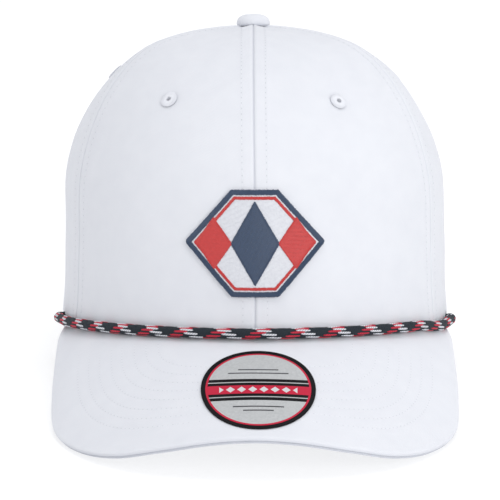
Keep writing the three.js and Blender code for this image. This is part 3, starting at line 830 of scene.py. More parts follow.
def eyelet_stitching(panel, side):
    middle = (EYELET_BORE + EYELET_REACH) / 2 + 0.05
    width = 2 * math.pi * middle / EYELET_STITCHES * 1.25
    turns = np.arange(EYELET_STITCHES) * 2 * math.pi / EYELET_STITCHES
    spoke = np.stack([np.cos(turns), np.sin(turns), np.full(len(turns), -0.1)], -1)
    centre = spoke * [middle, middle, 0] + [0, 0, 0.42]
    out = np.broadcast_to([0.0, 0.0, 1.0], spoke.shape)
    rows = grains(centre, unit(spoke), out, EYELET_REACH - EYELET_BORE + 0.5, width, 0.62)
    bm, _ = thread_mesh(rows, around=8, rings=8, full=0.6)
    wall = [
        (EYELET_BORE + 0.04, -CLOTH_THICKNESS), (EYELET_BORE, 0.1), (EYELET_BORE + 0.15, 0.45),
        (EYELET_REACH - 0.2, 0.3), (EYELET_REACH, -0.05),
    ]
    line = [bm.verts.new((x, 0, z)) for x, z in wall]
    edges = [bm.edges.new(pair) for pair in zip(line, line[1:])]
    bmesh.ops.spin(bm, geom=line + edges, cent=(0, 0, 0), axis=(0, 0, 1), angle=2 * math.pi, steps=40, use_merge=True)
    point, normal = eyelet_spot(panel, side)
    turn = Vector(normal).to_track_quat("Z", "Y").to_matrix().to_4x4()
    turn.translation = Vector(point)
    bmesh.ops.transform(bm, matrix=turn, verts=bm.verts)
    stand_mesh(bm)
    name = f"{panel}_{'left' if side > 0 else 'right'}"
    return finish_piece(bm, f"buttonholed_{name}", [white_thread], "eyelet_thread", f"eyelet_{name}")


for panel in EYELETS:
    for side in (1, -1):
        eyelet_stitching(panel, side)

# %% [markdown]
# ## Button
#
# The button is a metal dome drawn over with the crown's cloth. Its profile is a few points of a line, spun
# round into a dome with a tucked foot, and one subdivision rounds it. Six faint pleats near the foot show where
# the cloth is gathered underneath.

# %% Button
def make_button():
    bm = bmesh.new()
    profile = [(0.0, 4.6), (1.8, 4.55), (3.4, 4.35), (4.8, 3.95), (5.9, 3.3), (6.6, 2.5), (6.95, 1.6), (7.05, 0.7),
               (7.0, 0.1), (6.8, -0.35), (6.2, -0.75), (4.2, -0.8), (2.0, -0.8), (1.9, -2.6), (0.0, -2.6)]
    line = [bm.verts.new((r, 0, z)) for r, z in profile]
    edges = [bm.edges.new(pair) for pair in zip(line, line[1:])]
    bmesh.ops.spin(bm, geom=line + edges, cent=(0, 0, 0), axis=(0, 0, 1), angle=2 * math.pi, steps=48, use_merge=True)
    bmesh.ops.remove_doubles(bm, verts=bm.verts, dist=0.01)
    flat = read_verts(bm)
    turn = np.arctan2(flat[:, 1], flat[:, 0])
    pleat = 0.07 * np.cos(turn * 12) * np.exp(-((flat[:, 2] - 1.0) / 1.1) ** 2)
    radial = np.linalg.norm(flat[:, :2], axis=1, keepdims=True)
    shaped = flat.copy()
    shaped[:, :2] += flat[:, :2] / np.maximum(radial, 0.1) * pleat[:, None]
    # Painted shade round the tucked foot, where the button meets the crown
    note_cloth(bm, flat[:, :2], np.exp(-((flat[:, 2] + 0.3) / 0.3) ** 2) * 0.5)
    apex = crown_round(0.0, LAST_ROW)
    normal = unit(np.array([0, math.tan(APEX_LEAN), 1.0]))
    turn = Vector(normal).to_track_quat("Z", "Y").to_matrix()
    move_verts(bm.verts, stand_up(apex + shaped @ np.array(turn).T))
    face_outwards(bm)
    return finish_piece(bm, "covered_button", [crown_cloth], "crown_cloth", "button")


make_button()

# %% [markdown]
# ## Peak
#
# The peak is a stiff board between two covers. A grid is laid on the same ruled and swelled surface as the CAD
# covers: one way runs from temple to temple, the other from the crown out to the edge. Eight rows of stitches
# hold the covers to the board. Each row follows the edge with rounded corners, and the cloth dips a little under
# it. Near the edge the upper cover rolls over to meet the lower one in a seam.

# %% Peak surface
PEAK_HALF_WIDTH = 84.2
PEAK_END_ANGLE = math.radians(71)
PEAK_TEMPLE_Y = -RIM_REACH * math.cos(PEAK_END_ANGLE)
PEAK_LENGTH = 69.0
PEAK_DROP = 23.3
PEAK_SLOPE = math.hypot(PEAK_LENGTH, PEAK_DROP)
PEAK_FRONT_Y = -RIM_REACH - PEAK_LENGTH
PEAK_MIDDLE = FRONT_RISE - PEAK_DROP
CORNER_DROP = 19.0
PEAK_SWELL = 1.6
PEAK_ENDS = 0.96
COVER_THICKNESS = 1.4
STATION_SEAM = np.array([0, 0.16, 0.33, 0.5, 0.66, 0.8, 0.9, 0.96, 1])
STATION_ACROSS = np.array([0, 0.22, 0.45, 0.66, 0.84, 0.965, 0.996, 0.997, 0.995])
STATION_FORWARD = np.array([1, 0.99, 0.955, 0.89, 0.78, 0.62, 0.41, 0.2, 0])
STATION_DROP = np.array([0, 0.12, 0.46, 0.84, 1, 0.93, 0.58, 0.16, -0.2])


def peak_round(across, out):
    across, out = np.broadcast_arrays(np.asarray(across, float), np.asarray(out, float))
    row = np.minimum(np.abs(across), 1) * (len(STATION_SEAM) - 1)
    sign = np.sign(across)

    def station(column, mirror):
        return read_column(column, row, mirror * column[1], 2 * column[-1] - column[-2])

    x = sign * PEAK_HALF_WIDTH * station(STATION_ACROSS, -1)
    forward = station(STATION_FORWARD, 1)
    y = PEAK_TEMPLE_Y + (PEAK_FRONT_Y - PEAK_TEMPLE_Y) * forward
    level = PEAK_MIDDLE * smooth_step(forward, 0.2, 1)
    z = level - (CORNER_DROP + level) * station(STATION_DROP, 1)
    seam = sign * PEAK_END_ANGLE * station(STATION_SEAM, -1)
    foot = crown_round(seam, 0) + 0.3 * crown_normal(seam, np.zeros(seam.shape))
    surface = foot + (np.stack([x, y, z], -1) - foot) * out[..., None]
    surface[..., 2] += PEAK_THICKNESS + PEAK_SWELL * 4 * out * (1 - out)
    return surface


def peak_normal(across, out):
    step = 1e-3
    sideways = peak_round(across + step, out) - peak_round(across - step, out)
    outwards = peak_round(across, np.minimum(out + step, 1)) - peak_round(across, np.maximum(out - step, 0))
    normal = unit(np.cross(sideways, outwards))
    return normal * np.where(normal[..., 2:] < 0, -1, 1)


# %% Stitch rows of the peak
ROW_HALF_WIDTHS = [73.0, 68.4, 63.9, 58.9, 54.6, 49.4, 44.6, 39.6]
ROW_OUTS = [0.822, 0.753, 0.684, 0.612, 0.54, 0.468, 0.396, 0.318]
ROW_SQUARENESS = [6.5, 6.0, 5.6, 5.2, 4.8, 4.6, 4.4, 4.2]


def row_path(index):
    """One stitch row, from crown to crown, with rounded corners."""
    half, far, square = ROW_HALF_WIDTHS[index], ROW_OUTS[index], ROW_SQUARENESS[index]
    turn = np.linspace(0.02, math.pi - 0.02, 400)
    x = half * np.sign(np.cos(turn)) * np.abs(np.cos(turn)) ** (2 / square)
    out = far * np.abs(np.sin(turn)) ** (2 / square)
    across = solve(lambda a: peak_round(a, out)[..., 0], x, np.full(x.shape, -PEAK_ENDS), PEAK_ENDS)
    outer = peak_round(across, out)
    keep = out > 0.02
    return outer[keep], peak_normal(across, out)[keep]


peak_rows = [row_path(i) for i in range(len(ROW_OUTS))]
print("longest row:", round(float(np.linalg.norm(np.diff(peak_rows[0][0], axis=0), axis=1).sum())), "mm")

# %% Peak covers
PEAK_COLUMNS = 190
PEAK_LINES = 84


def nearest_row(points):
    """Distance of each point from the nearest stitch row, seen from above."""
    best = np.full(len(points), 99.0)
    for path, _ in peak_rows:
        for start in range(0, len(points), 4000):
            part = points[start : start + 4000, None, :2] - path[None, ::2, :2]
            reach = np.sqrt((part**2).sum(-1)).min(1)
            best[start : start + 4000] = np.minimum(best[start : start + 4000], reach)
    return best


def peak_waves(outer):
    return soft_noise(outer, 30, 31) * 0.12


END_SPREAD = 90  # mm along the peak for each unit of its angle, near its ends
EDGE_ROLL = 1.8  # how far in from its edge a cover rolls over


def sew_peak_cover(name, node_name, upper):
    bm = bmesh.new()
    bmesh.ops.create_grid(bm, x_segments=PEAK_COLUMNS, y_segments=PEAK_LINES, size=1)
    flat = read_verts(bm)
    across = PEAK_ENDS * flat[:, 0]
    out = (flat[:, 1] + 1) / 2
    out = 1 - (1 - out) ** 1.25
    outer = peak_round(across, out)
    normal = peak_normal(across, out)
    rib = np.linalg.norm(peak_round(across, np.ones(len(across))) - peak_round(across, np.zeros(len(across))), axis=1)
    from_edge = (1 - out) * rib
    from_side = (PEAK_ENDS - np.abs(across)) * END_SPREAD
    reach = nearest_row(outer)
    groove = 0.07 * np.exp(-((reach / 0.6) ** 2)) - 0.03 * np.exp(-(((reach - 1.8) / 1.1) ** 2))
    waves = peak_waves(outer)
    near = np.clip(np.minimum(from_edge, from_side) / EDGE_ROLL, 0, 1)
    roll = 0.95 * (1 - np.sqrt(1 - (1 - near) ** 2))
    sunk = groove + roll if upper else COVER_THICKNESS * 2 + 0.2 - groove - roll
    move_verts(bm.verts, outer - normal * (sunk - waves)[:, None])
    # The fold attribute gives painted shade along the stitch rows and in the seam at the edge
    note_cloth(bm, np.stack([outer[:, 0], np.linalg.norm(outer[:, 1:] - outer[:1, 1:], axis=1)], -1),
               0.06 * np.exp(-((reach / 0.4) ** 2)) + 0.7 * np.exp(-((from_edge / 0.5) ** 2)))
    bm.normal_update()
    bmesh.ops.recalc_face_normals(bm, faces=bm.faces)
    top = max(bm.faces, key=lambda face: face.calc_area())
    if (top.normal.z < 0) == upper:
        bmesh.ops.reverse_faces(bm, faces=bm.faces)
    bmesh.ops.solidify(bm, geom=bm.faces[:], thickness=COVER_THICKNESS)
    move_verts(bm.verts, stand_up(read_verts(bm)))
    face_outwards(bm)
    return finish_piece(bm, name, [crown_cloth], "crown_cloth", node_name)


sew_peak_cover("peak_top_cover", "peak_upper", True)
sew_peak_cover("peak_under_cover", "peak_lower", False)


# %% Stitches of the peak
def topstitch_peak():
    rows = [
        stitch_row(path + normals * (peak_waves(path) - 0.03)[:, None], normals, pitch=2.2, length=1.6, width=0.36)
        for path, normals in peak_rows
    ]
    rows = np.concatenate(rows)
    print("stitches on the peak:", len(rows) // 2)
    return stitched_piece("topstitching_peak", rows)


topstitch_peak()

# %% [markdown]
# ## Rope
#
# The rope is a braid over a dark core. Its threads run round it in two directions and come up in long floats
# that lie nearly along it: white ones step down to the right, red ones step down to the left, and navy ones
# fill the rest. Each float is one blunt grain of thread, laid in eight rows round the rope, which gives the braid
# its real relief.

# %% Rope line
ROPE_SAG = 1.6  # how far it hangs beside the end of the peak, on the wearer's left
SAG_X, SAG_WIDTH = 78.5, 6.0
ROPE_TURN = [(-4.2, 1.05), (-2.5, 1.12), (-1.3, 1.05), (-0.45, 0.7), (0.0, 0.0)]


def rounded_path(points, step=0.5):
    """A smooth line through the points, cut into even steps."""
    points = np.asarray(points, float)
    rows = np.linspace(0, len(points) - 1, 14 * len(points))
    columns = [read_column(c, rows, 2 * c[0] - c[1], 2 * c[-1] - c[-2]) for c in points.T]
    line = np.stack(columns, -1)
    run = np.concatenate([[0], np.cumsum(np.linalg.norm(np.diff(line, axis=0), axis=1))])
    marks = np.linspace(0, run[-1], int(run[-1] / step) + 1)
    return np.stack([np.interp(marks, run, line[:, i]) for i in range(3)], -1)


def rope_line():
    last = ROPE_END - 1.5 * 4.2 * ROPE_RADIUS / RIM_HALF_WIDTH
    angles = np.linspace(0, last, 26)
    half = list(crown_point(angles, row_at_height(angles, rope_height(angles)), -ROPE_LIFT))
    point, normal = rope_hole(1)
    along = point - half[-1]
    along = unit(along - normal * (along @ normal))
    half += [point + along * a * ROPE_RADIUS + normal * o * ROPE_RADIUS for a, o in ROPE_TURN]
    half.append(point - normal * 2.0)
    half = np.array(half)
    whole = np.concatenate([(half * [-1, 1, 1])[:0:-1], half])
    sagging = np.exp(-(((whole[:, 0] - SAG_X) / SAG_WIDTH) ** 2)) * smooth_step(-whole[:, 1], -14, -2)
    whole[:, 2] -= ROPE_SAG * sagging
    return rounded_path(whole)


def carried_frames(line):
    """Directions along the line and out of the cloth, carried from its middle to both ends without twisting."""
    along = unit(np.gradient(line, axis=0))
    out = np.zeros_like(line)
    middle = len(line) // 2
    out[middle] = (0, -1, 0)
    for order in (range(middle + 1, len(line)), range(middle - 1, -1, -1)):
        before = out[middle]
        for i in order:
            before = unit(before - along[i] * (before @ along[i]))
            out[i] = before
    return along, out


rope = rope_line()
rope_along, rope_out = carried_frames(rope)
rope_run = np.concatenate([[0], np.cumsum(np.linalg.norm(np.diff(rope, axis=0), axis=1))])
rope_run -= rope_run[-1] / 2
print("rope length:", round(float(rope_run[-1] * 2)), "mm")

# %% Braid
BRAID_PERIOD = 15.9
BRAID_ROWS = 8
FLOAT_LENGTH = 6.1
FIRST_ROW_TURN = -1.0
WHITE_START = 5.4
RED_START = -1.0
NAVY, RED, WHITE = 0, 1, 2
BEND_REACH = 12  # how far from its end the rope bends into the crown
NAVY_REACH = 7.5  # how far from its end it shows navy alone


def braid_floats():
    """Every float: its place along the rope, its turn round it, its length, its lift, its lean and its colour."""
    floats = []
    step = BRAID_PERIOD / BRAID_ROWS
    navy_length = (BRAID_PERIOD - FLOAT_LENGTH) / 2
    for row in range(BRAID_ROWS):
        down = (row + 3) % BRAID_ROWS - 3
        turn = FIRST_ROW_TURN - row * 360 / BRAID_ROWS
        columns = [
            (WHITE_START + down * step, turn, -2.5, WHITE, 0.07),
            (RED_START - down * step, turn - 180 / BRAID_ROWS, 1.5, RED, 0.05),
        ]
        for start, column_turn, lean, colour, lift in columns:
            for period in range(-12, 13):
                at = start + period * BRAID_PERIOD
                floats.append((at, column_turn, FLOAT_LENGTH, lift, lean, colour))
                for i in range(2):
                    navy_at = at + FLOAT_LENGTH / 2 + navy_length * (i + 0.5)
                    floats.append((navy_at, column_turn, navy_length + 0.5, -0.06, lean, NAVY))
    return floats


def cut_for_ends(floats):
    """In the bends at both ends each float becomes three short ones, and the last of them are navy."""
    reach, laid = rope_run[-1], []
    for at, turn, length, lift, lean, colour in floats:
        pieces = 3 if abs(at) > reach - BEND_REACH else 1
        for i in range(pieces):
            place = at + length * ((i + 0.5) / pieces - 0.5)
            if abs(place) < reach - 1.5:
                shown = NAVY if abs(place) > reach - NAVY_REACH else colour
                laid.append((place, turn, length / pieces + (0.4 if pieces > 1 else 0), lift, lean, shown))
    return laid


def braid_rope():
    floats = cut_for_ends(braid_floats())
    at, turn, length, lift, lean, colour = (np.array(column, float) for column in zip(*floats))
    read = lambda table: np.stack([np.interp(at, rope_run, table[:, i]) for i in range(3)], -1)
    place, along, out = read(rope), unit(read(rope_along)), unit(read(rope_out))
    up = unit(np.cross(out, along))
    up = np.where(up[:, 2:] < 0, -up, up)
    turn, lean = np.radians(turn)[:, None], np.radians(lean)[:, None]
    away = out * np.cos(turn) + up * np.sin(turn)
    round_it = up * np.cos(turn) - out * np.sin(turn)
    way = along * np.cos(lean) + round_it * np.sin(lean)
    bend = read(np.gradient(rope_along, rope_run, axis=0))
    length = length * np.clip(1 - ROPE_RADIUS * (bend * away).sum(-1), 0.4, 1.3)
    width = np.where(colour == NAVY, 1.12, 1.0)[:, None]
    places = place + away * (ROPE_RADIUS - 0.45 + lift[:, None])
    rows = grains(places, unit(way), away, length[:, None], width, 0.85)
    bm, faces_each = thread_mesh(rows, around=8, rings=8, full=0.5)
    for i, face in enumerate(bm.faces):
        face.material_index = int(colour[i // faces_each])
    return bm, len(floats)


def rope_core(bm):
    """A dark tube under the floats, closed at both ends."""
    core = bmesh.new()
    sides, lines = 12, len(rope) // 2
    bmesh.ops.create_grid(core, x_segments=sides, y_segments=lines, size=1)
    flat = read_verts(core)
    turn = (flat[:, 0] + 1) * math.pi
    at = (flat[:, 1] + 1) / 2 * (rope_run[-1] * 2) - rope_run[-1]
    read = lambda table: np.stack([np.interp(at, rope_run, table[:, i]) for i in range(3)], -1)
    along, out = unit(read(rope_along)), unit(read(rope_out))
    up = np.cross(out, along)
    radius = ROPE_RADIUS - 0.42
    places = read(rope) + radius * (out * np.cos(turn)[:, None] + up * np.sin(turn)[:, None])
    move_verts(core.verts, places)
    bmesh.ops.remove_doubles(core, verts=core.verts, dist=0.02)
    bmesh.ops.holes_fill(core, edges=[edge for edge in core.edges if edge.is_boundary])
    face_outwards(core)
    mesh = bpy.data.meshes.new("rope_core")
    core.to_mesh(mesh)
    core.free()
    bm.from_mesh(mesh)
    bpy.data.meshes.remove(mesh)


# Each rope thread's dark colour is the painted shade in its ply's grooves
rope_navy = make_thread("rope_navy", (0.02, 0.029, 0.038, 1), (0.01, 0.014, 0.019, 1), 0.9, 0.00014, 0.65, 0.03, 0.25)
rope_red = make_thread("rope_red", (0.68, 0.03, 0.06, 1), (0.3, 0.012, 0.03, 1), 0.9, 0.00016, 0.6, 0.03, 0.25)
rope_white = make_thread("rope_white", (0.88, 0.89, 0.91, 1), (0.3, 0.31, 0.36, 1), 0.9, 0.0002, 0.55, 0.05, 0.3)

bm, float_count = braid_rope()
rope_core(bm)
stand_mesh(bm)
print("floats in the braid:", float_count)
finish_piece(bm, "braided_rope", [rope_navy, rope_red, rope_white], "rope_cord", "rope")

# %% [markdown]
# ## Emblem
#
# The patch on the front carries a plain diamond check. A machine would sew it as rows of thread, so that is how
# it is built here: a thin pad follows the crown, short fill stitches cover the diamonds row by row, and a satin
# border of stitches set square to the edge closes the outline. Stitches are the same blunt grains as elsewhere,
# one colour to each region.

# %% Emblem outlines
EMBLEM_WIDTH = 57.0
EMBLEM_HEIGHT = 42.0
EMBLEM_CENTRE = 58.0
EMBLEM_SHOULDER = EMBLEM_WIDTH / 6
PAD_DEPTH = -1.15
SATIN_WIDTH = 2.3


def emblem_point(x, up, depth):
    return crown_front(x, EMBLEM_CENTRE + np.asarray(up), depth)


def outline_walk(corners, pitch, corner_radius):
    """Even places along a closed outline with rounded corners, and the way out of it at each."""
    corners = np.array(corners, float)
    points, outs = [], []
    for i, corner in enumerate(corners):
        before, after = corners[i - 1], corners[(i + 1) % len(corners)]
        come, go = unit(corner - before), unit(after - corner)
        out_before, out_after = np.array([come[1], -come[0]]), np.array([go[1], -go[0]])
        inner = corner - unit(out_before + out_after) * corner_radius / math.sqrt((1 + out_before @ out_after) / 2)
        for share in np.linspace(0, 1, 9):
            out = unit(out_before * (1 - share) + out_after * share)
            points.append(inner + out * corner_radius)
            outs.append(out)
    points, outs = np.array(points + points[:1]), np.array(outs + outs[:1])
    run = np.concatenate([[0], np.cumsum(np.linalg.norm(np.diff(points, axis=0), axis=1))])
    marks = np.arange(0, run[-1], pitch)
    read = lambda table: np.stack([np.interp(marks, run, table[:, i]) for i in range(2)], -1)
    return read(points), unit(read(outs))


def surface_grains(ends_a, ends_b, depth, width, height, overshoot=0.0):
    """Grains between pairs of places on the patch, laid on the crown."""
    a, b = emblem_point(*ends_a.T, depth), emblem_point(*ends_b.T, depth)
    middle = emblem_point(*((ends_a + ends_b) / 2).T, depth)
    normal = unit(middle - emblem_point(*((ends_a + ends_b) / 2).T, depth + 1))
    length = np.linalg.norm(b - a, axis=1, keepdims=True) + overshoot
    lift = (middle - (a + b) / 2) * 0.5
    return grains((a + b) / 2 + lift, unit(b - a), normal, length, width, height)


def satin(corners, pitch, width, corner_radius, depth, seed):
    """Stitches square to an outline, over its edge."""
    points, outs = outline_walk(corners, pitch, corner_radius)
    rng = np.random.default_rng(seed)
    ragged = rng.normal(0, 0.05, (len(points), 2))
    inner = points - outs * (width + ragged[:, :1])
    outer = points + outs * ragged[:, 1:]
    return surface_grains(inner, outer, depth, pitch * 1.25, 0.62)


def fill_rows(corners, lean, pitch, stitch, depth, seed):
    """Rows of fill stitches across a convex region, laid like bricks."""
    corners = np.array(corners, float)
    turn = math.radians(lean)
    along, across = np.array([math.cos(turn), math.sin(turn)]), np.array([-math.sin(turn), math.cos(turn)])
    u, v = corners @ along, corners @ across
    rng = np.random.default_rng(seed)
    starts, ends = [], []
    for k, level in enumerate(np.arange(v.min() + pitch / 2, v.max(), pitch)):
        hits = []
        for i in range(len(corners)):
            j = (i + 1) % len(corners)
            if (v[i] - level) * (v[j] - level) < 0:
                hits.append(u[i] + (level - v[i]) / (v[j] - v[i]) * (u[j] - u[i]))
        if len(hits) < 2 or max(hits) - min(hits) < 0.4:
            continue
        low, high = min(hits), max(hits)
        first = math.floor(low / stitch) * stitch + (k % 4) * stitch / 4 + rng.normal(0, 0.08)
        cuts = np.arange(first, high + stitch, stitch)
        cuts = np.concatenate([[low], cuts[(cuts > low + 0.7) & (cuts < high - 0.7)], [high]])
        starts += [along * a + across * level for a in cuts[:-1]]
        ends += [along * b + across * level for b in cuts[1:]]
    return surface_grains(np.array(starts), np.array(ends), depth, pitch * 1.3, 0.34, 0.5)


def lozenge(x, half_width, half_height):
    return [(x - half_width, 0), (x, -half_height), (x + half_width, 0), (x, half_height)]


def hexagon(inset):
    slope = math.atan2(EMBLEM_HEIGHT / 2, EMBLEM_WIDTH / 2 - EMBLEM_SHOULDER)
    half = EMBLEM_WIDTH / 2 - inset / math.sin(slope)
    top = EMBLEM_HEIGHT / 2 - inset
    shoulder = half - top / math.tan(slope)
    return [(-half, 0), (-shoulder, -top), (shoulder, -top), (half, 0), (shoulder, top), (-shoulder, top)]


# %% Emblem threads
def make_satin_thread(name, light, dark):
    material, tree = new_material(name)
    place = attribute(tree, "flat", "Vector")
    twist = place_group(tree, thread_group, {"Place": place, "Turns per mm": 2.2, "Slant": 0.8})
    own_place = node(tree, "ShaderNodeTexCoord").outputs["Object"]
    marks = place_group(tree, marks_group, {"Place": own_place, "Size": 900.0})
    toned = math_node(tree, "MULTIPLY", twist.outputs["Tone"], 0.5)
    worn = math_node(tree, "MULTIPLY_ADD", marks.outputs["Mask"], 0.35, toned)
    colour = mix_colour(tree, worn, light, dark)
    shade(
        tree, colour, 0.42, twist.outputs["Height"], 0.00003,
        Sheen_Weight=0.15, Sheen_Roughness=0.35, Specular_IOR_Level=0.5,
    )
    return material


emblem_navy = make_satin_thread("emblem_navy", (0.04, 0.068, 0.125, 1), (0.022, 0.038, 0.075, 1))
emblem_red = make_satin_thread("emblem_red", (0.58, 0.045, 0.042, 1), (0.4, 0.026, 0.026, 1))
emblem_pale = make_satin_thread("emblem_pale", (0.7, 0.71, 0.74, 1), (0.54, 0.55, 0.6, 1))


# %% Sew the emblem
def emblem_pad():
    bm = bmesh.new()
    bmesh.ops.create_grid(bm, x_segments=76, y_segments=40, size=1)
    flat = read_verts(bm)
    half = EMBLEM_WIDTH / 2 - 0.35
    x = half * flat[:, 0]
    narrow = np.minimum(1, (EMBLEM_WIDTH / 2 - np.abs(x)) / (EMBLEM_WIDTH / 2 - EMBLEM_SHOULDER))
    up = flat[:, 1] * (EMBLEM_HEIGHT / 2 - 0.3) * np.maximum(narrow, 0.02)
    move_verts(bm.verts, emblem_point(x, up, PAD_DEPTH))
    bmesh.ops.recalc_face_normals(bm, faces=bm.faces)
    if bm.faces[0].normal.y > 0:
        bmesh.ops.reverse_faces(bm, faces=bm.faces)
    bmesh.ops.solidify(bm, geom=bm.faces[:], thickness=0.8)
    stand_mesh(bm)
    face_outwards(bm)
    return finish_piece(bm, "emblem_pad", [emblem_pale], "emblem_thread", "emblem")


def emblem_stitches():
    over = PAD_DEPTH - 0.02
    regions = [
        (2, fill_rows(hexagon(1.2), 0, 0.52, 4.2, over, 1)),
        (0, fill_rows(lozenge(0, 9.2, 15.6), 34, 0.46, 3.6, over - 0.26, 2)),
        (1, fill_rows(lozenge(-16.6, 6.9, 9.6), -34, 0.46, 3.6, over - 0.26, 3)),
        (1, fill_rows(lozenge(16.6, 6.9, 9.6), -34, 0.46, 3.6, over - 0.26, 4)),
        (0, satin(lozenge(0, 9.9, 16.8), 0.44, 1.1, 0.4, over - 0.2, 5)),
        (1, satin(lozenge(-16.6, 7.5, 10.4), 0.44, 0.9, 0.4, over - 0.2, 6)),
        (1, satin(lozenge(16.6, 7.5, 10.4), 0.44, 0.9, 0.4, over - 0.2, 7)),
        (1, satin(hexagon(2.6), 0.44, 1.3, 1.0, over - 0.14, 8)),
        (0, satin(hexagon(-0.1), 0.42, SATIN_WIDTH, 1.6, over - 0.16, 9)),
    ]
    slots = np.concatenate([np.full(len(rows), slot) for slot, rows in regions])
    bm, faces_each = thread_mesh(np.concatenate([rows for _, rows in regions]), around=6, rings=6, full=0.35)
    for i, face in enumerate(bm.faces):
        face.material_index = int(slots[i // faces_each])
    stand_mesh(bm)
    print("stitches in the emblem:", len(slots))
    return finish_piece(bm, "emblem_stitches", [emblem_navy, emblem_red, emblem_pale], "emblem_thread", "emblem")


emblem_pad()
emblem_stitches()

# %% [markdown]
# ## Sticker
#
# The sticker is a thin printed film on the peak. A square grid is drawn out to an oval and laid on the peak, with
# a fine wall. Its print is all in the shader: the flat place kept on the mesh gives an even distance from the
# middle, and that distance is cut into a black rim, a red line and a silver field with a banded middle.

# %% Printed film
def within(tree, value, low, high):
    """A sharp mask of one where the value lies between the two."""
    above = math_node(tree, "GREATER_THAN", value, low)
    below = math_node(tree, "LESS_THAN", value, high)
    return math_node(tree, "MULTIPLY", above, below)


def make_film(half_width, half_length):
    material, tree = new_material("sticker_film")
    place = attribute(tree, "flat", "Vector")
    parts = node(tree, "ShaderNodeSeparateXYZ", {0: place})
    x, y = parts.outputs["X"], parts.outputs["Y"]
    round_x = math_node(tree, "POWER", math_node(tree, "ABSOLUTE", math_node(tree, "DIVIDE", x, half_width)), 2.0)
    round_y = math_node(tree, "POWER", math_node(tree, "ABSOLUTE", math_node(tree, "DIVIDE", y, half_length)), 2.0)
    reach = math_node(tree, "SQRT", math_node(tree, "ADD", round_x, round_y))
    silver, black, red = (0.34, 0.35, 0.355, 1), (0.004, 0.004, 0.005, 1), (0.5, 0.02, 0.05, 1)
    colour = mix_colour(tree, math_node(tree, "LESS_THAN", reach, 0.92), black, red)
    noise = node(tree, "ShaderNodeTexNoise", {"Vector": place, "Scale": 0.5, "Detail": 5.0, "Distortion": 2.0})
    cloud = noise.outputs["Fac"]
    mottled = mix_colour(tree, math_node(tree, "MULTIPLY", cloud, 0.9), (0.56, 0.57, 0.57, 1), silver)
    colour = mix_colour(tree, math_node(tree, "LESS_THAN", reach, 0.885), colour, mottled)
    field = math_node(tree, "LESS_THAN", reach, 0.885)
    band = math_node(tree, "MULTIPLY", within(tree, y, -9.0, 6.0), field)
    colour = mix_colour(tree, band, colour, black)
    stripe = math_node(tree, "MULTIPLY", within(tree, y, -4.4, 1.4), field)
    colour = mix_colour(tree, stripe, colour, red)
    for level in (-6.6, 3.6):
        line = math_node(tree, "MULTIPLY", within(tree, y, level - 0.3, level + 0.3), field)
        colour = mix_colour(tree, line, colour, (0.46, 0.47, 0.47, 1))
    share = math_node(tree, "FRACT", math_node(tree, "DIVIDE", x, 4.4))
    cell = math_node(tree, "ABSOLUTE", math_node(tree, "SUBTRACT", share, 0.5))
    rise = math_node(tree, "ABSOLUTE", math_node(tree, "DIVIDE", math_node(tree, "ADD", y, 1.5), 5.0))
    inside = math_node(tree, "LESS_THAN", math_node(tree, "ADD", cell, rise), 0.4)
    row = math_node(tree, "MULTIPLY", inside, math_node(tree, "MULTIPLY", field, within(tree, x, -15.4, 15.4)))
    colour = mix_colour(tree, row, colour, (0.6, 0.6, 0.61, 1))
    for low, high, end in ((10.0, 10.8, 12.0), (12.6, 13.4, 8.0), (-13.6, -12.8, 10.0), (-16.2, -15.4, 6.0)):
        bar = math_node(tree, "MULTIPLY", within(tree, y, low, high), within(tree, x, -end, end))
        colour = mix_colour(tree, bar, colour, (0.06, 0.06, 0.065, 1))
    own_place = node(tree, "ShaderNodeTexCoord").outputs["Object"]
    marks = place_group(tree, marks_group, {"Place": own_place, "Size": 90.0})
    rough = math_node(tree, "MULTIPLY_ADD", marks.outputs["Mask"], 0.12, 0.34)
    ripple = node(tree, "ShaderNodeTexNoise", {"Vector": own_place, "Scale": 60.0, "Detail": 1.0}).outputs["Fac"]
    shade(tree, colour, rough, ripple, 0.0004, Specular_IOR_Level=0.06, Coat_Weight=0.03, Coat_Roughness=0.15)
    return material


# %% Lay the sticker on the peak
STICKER_WIDTH = 45.5
STICKER_LENGTH = 56.0
STICKER_CENTRE = 0.54
STICKER_ASIDE = 1.2


def make_sticker():
    bm = bmesh.new()
    bmesh.ops.create_grid(bm, x_segments=64, y_segments=64, size=1)
    flat = read_verts(bm)
    u, v = flat[:, 0], flat[:, 1]
    share = STICKER_LENGTH / 2 / PEAK_SLOPE
    disc_x = u * np.sqrt(1 - v * v / 2)
    disc_y = v * np.sqrt(1 - u * u / 2)
    x = STICKER_WIDTH / 2 * disc_x + STICKER_ASIDE
    out = STICKER_CENTRE + share * disc_y
    across = solve(lambda a: peak_round(a, out)[..., 0], x, np.full(x.shape, -PEAK_ENDS), PEAK_ENDS)
    rim = np.hypot(disc_x, disc_y)
    unevenness = 0.06 * soft_noise(np.stack([x, out * 70, x * 0], -1), 16, 77)
    lifted = 0.42 + unevenness + 0.12 * smooth_step(rim, 0.93, 1.0)
    move_verts(bm.verts, peak_round(across, out) + peak_normal(across, out) * lifted[:, None])
    note_cloth(bm, np.stack([x - STICKER_ASIDE, -disc_y * STICKER_LENGTH / 2], -1), np.zeros(len(x)))
    bmesh.ops.recalc_face_normals(bm, faces=bm.faces)
    if bm.faces[0].normal.z < 0:
        bmesh.ops.reverse_faces(bm, faces=bm.faces)
    bmesh.ops.solidify(bm, geom=bm.faces[:], thickness=0.22)
    stand_mesh(bm)
    face_outwards(bm)
    film = make_film(STICKER_WIDTH / 2, STICKER_LENGTH / 2)
    return finish_piece(bm, "oval_sticker", [film], "sticker_film", "size_sticker")


make_sticker()

# %% [markdown]
# ## Sweatband and back opening
#
# Inside the rim runs a soft woven band, turned over along its top. At the back the opening's raw edge is bound
# with a folded tape, whose round section is carried along the arch, and the tape is sewn down near its outer edge.

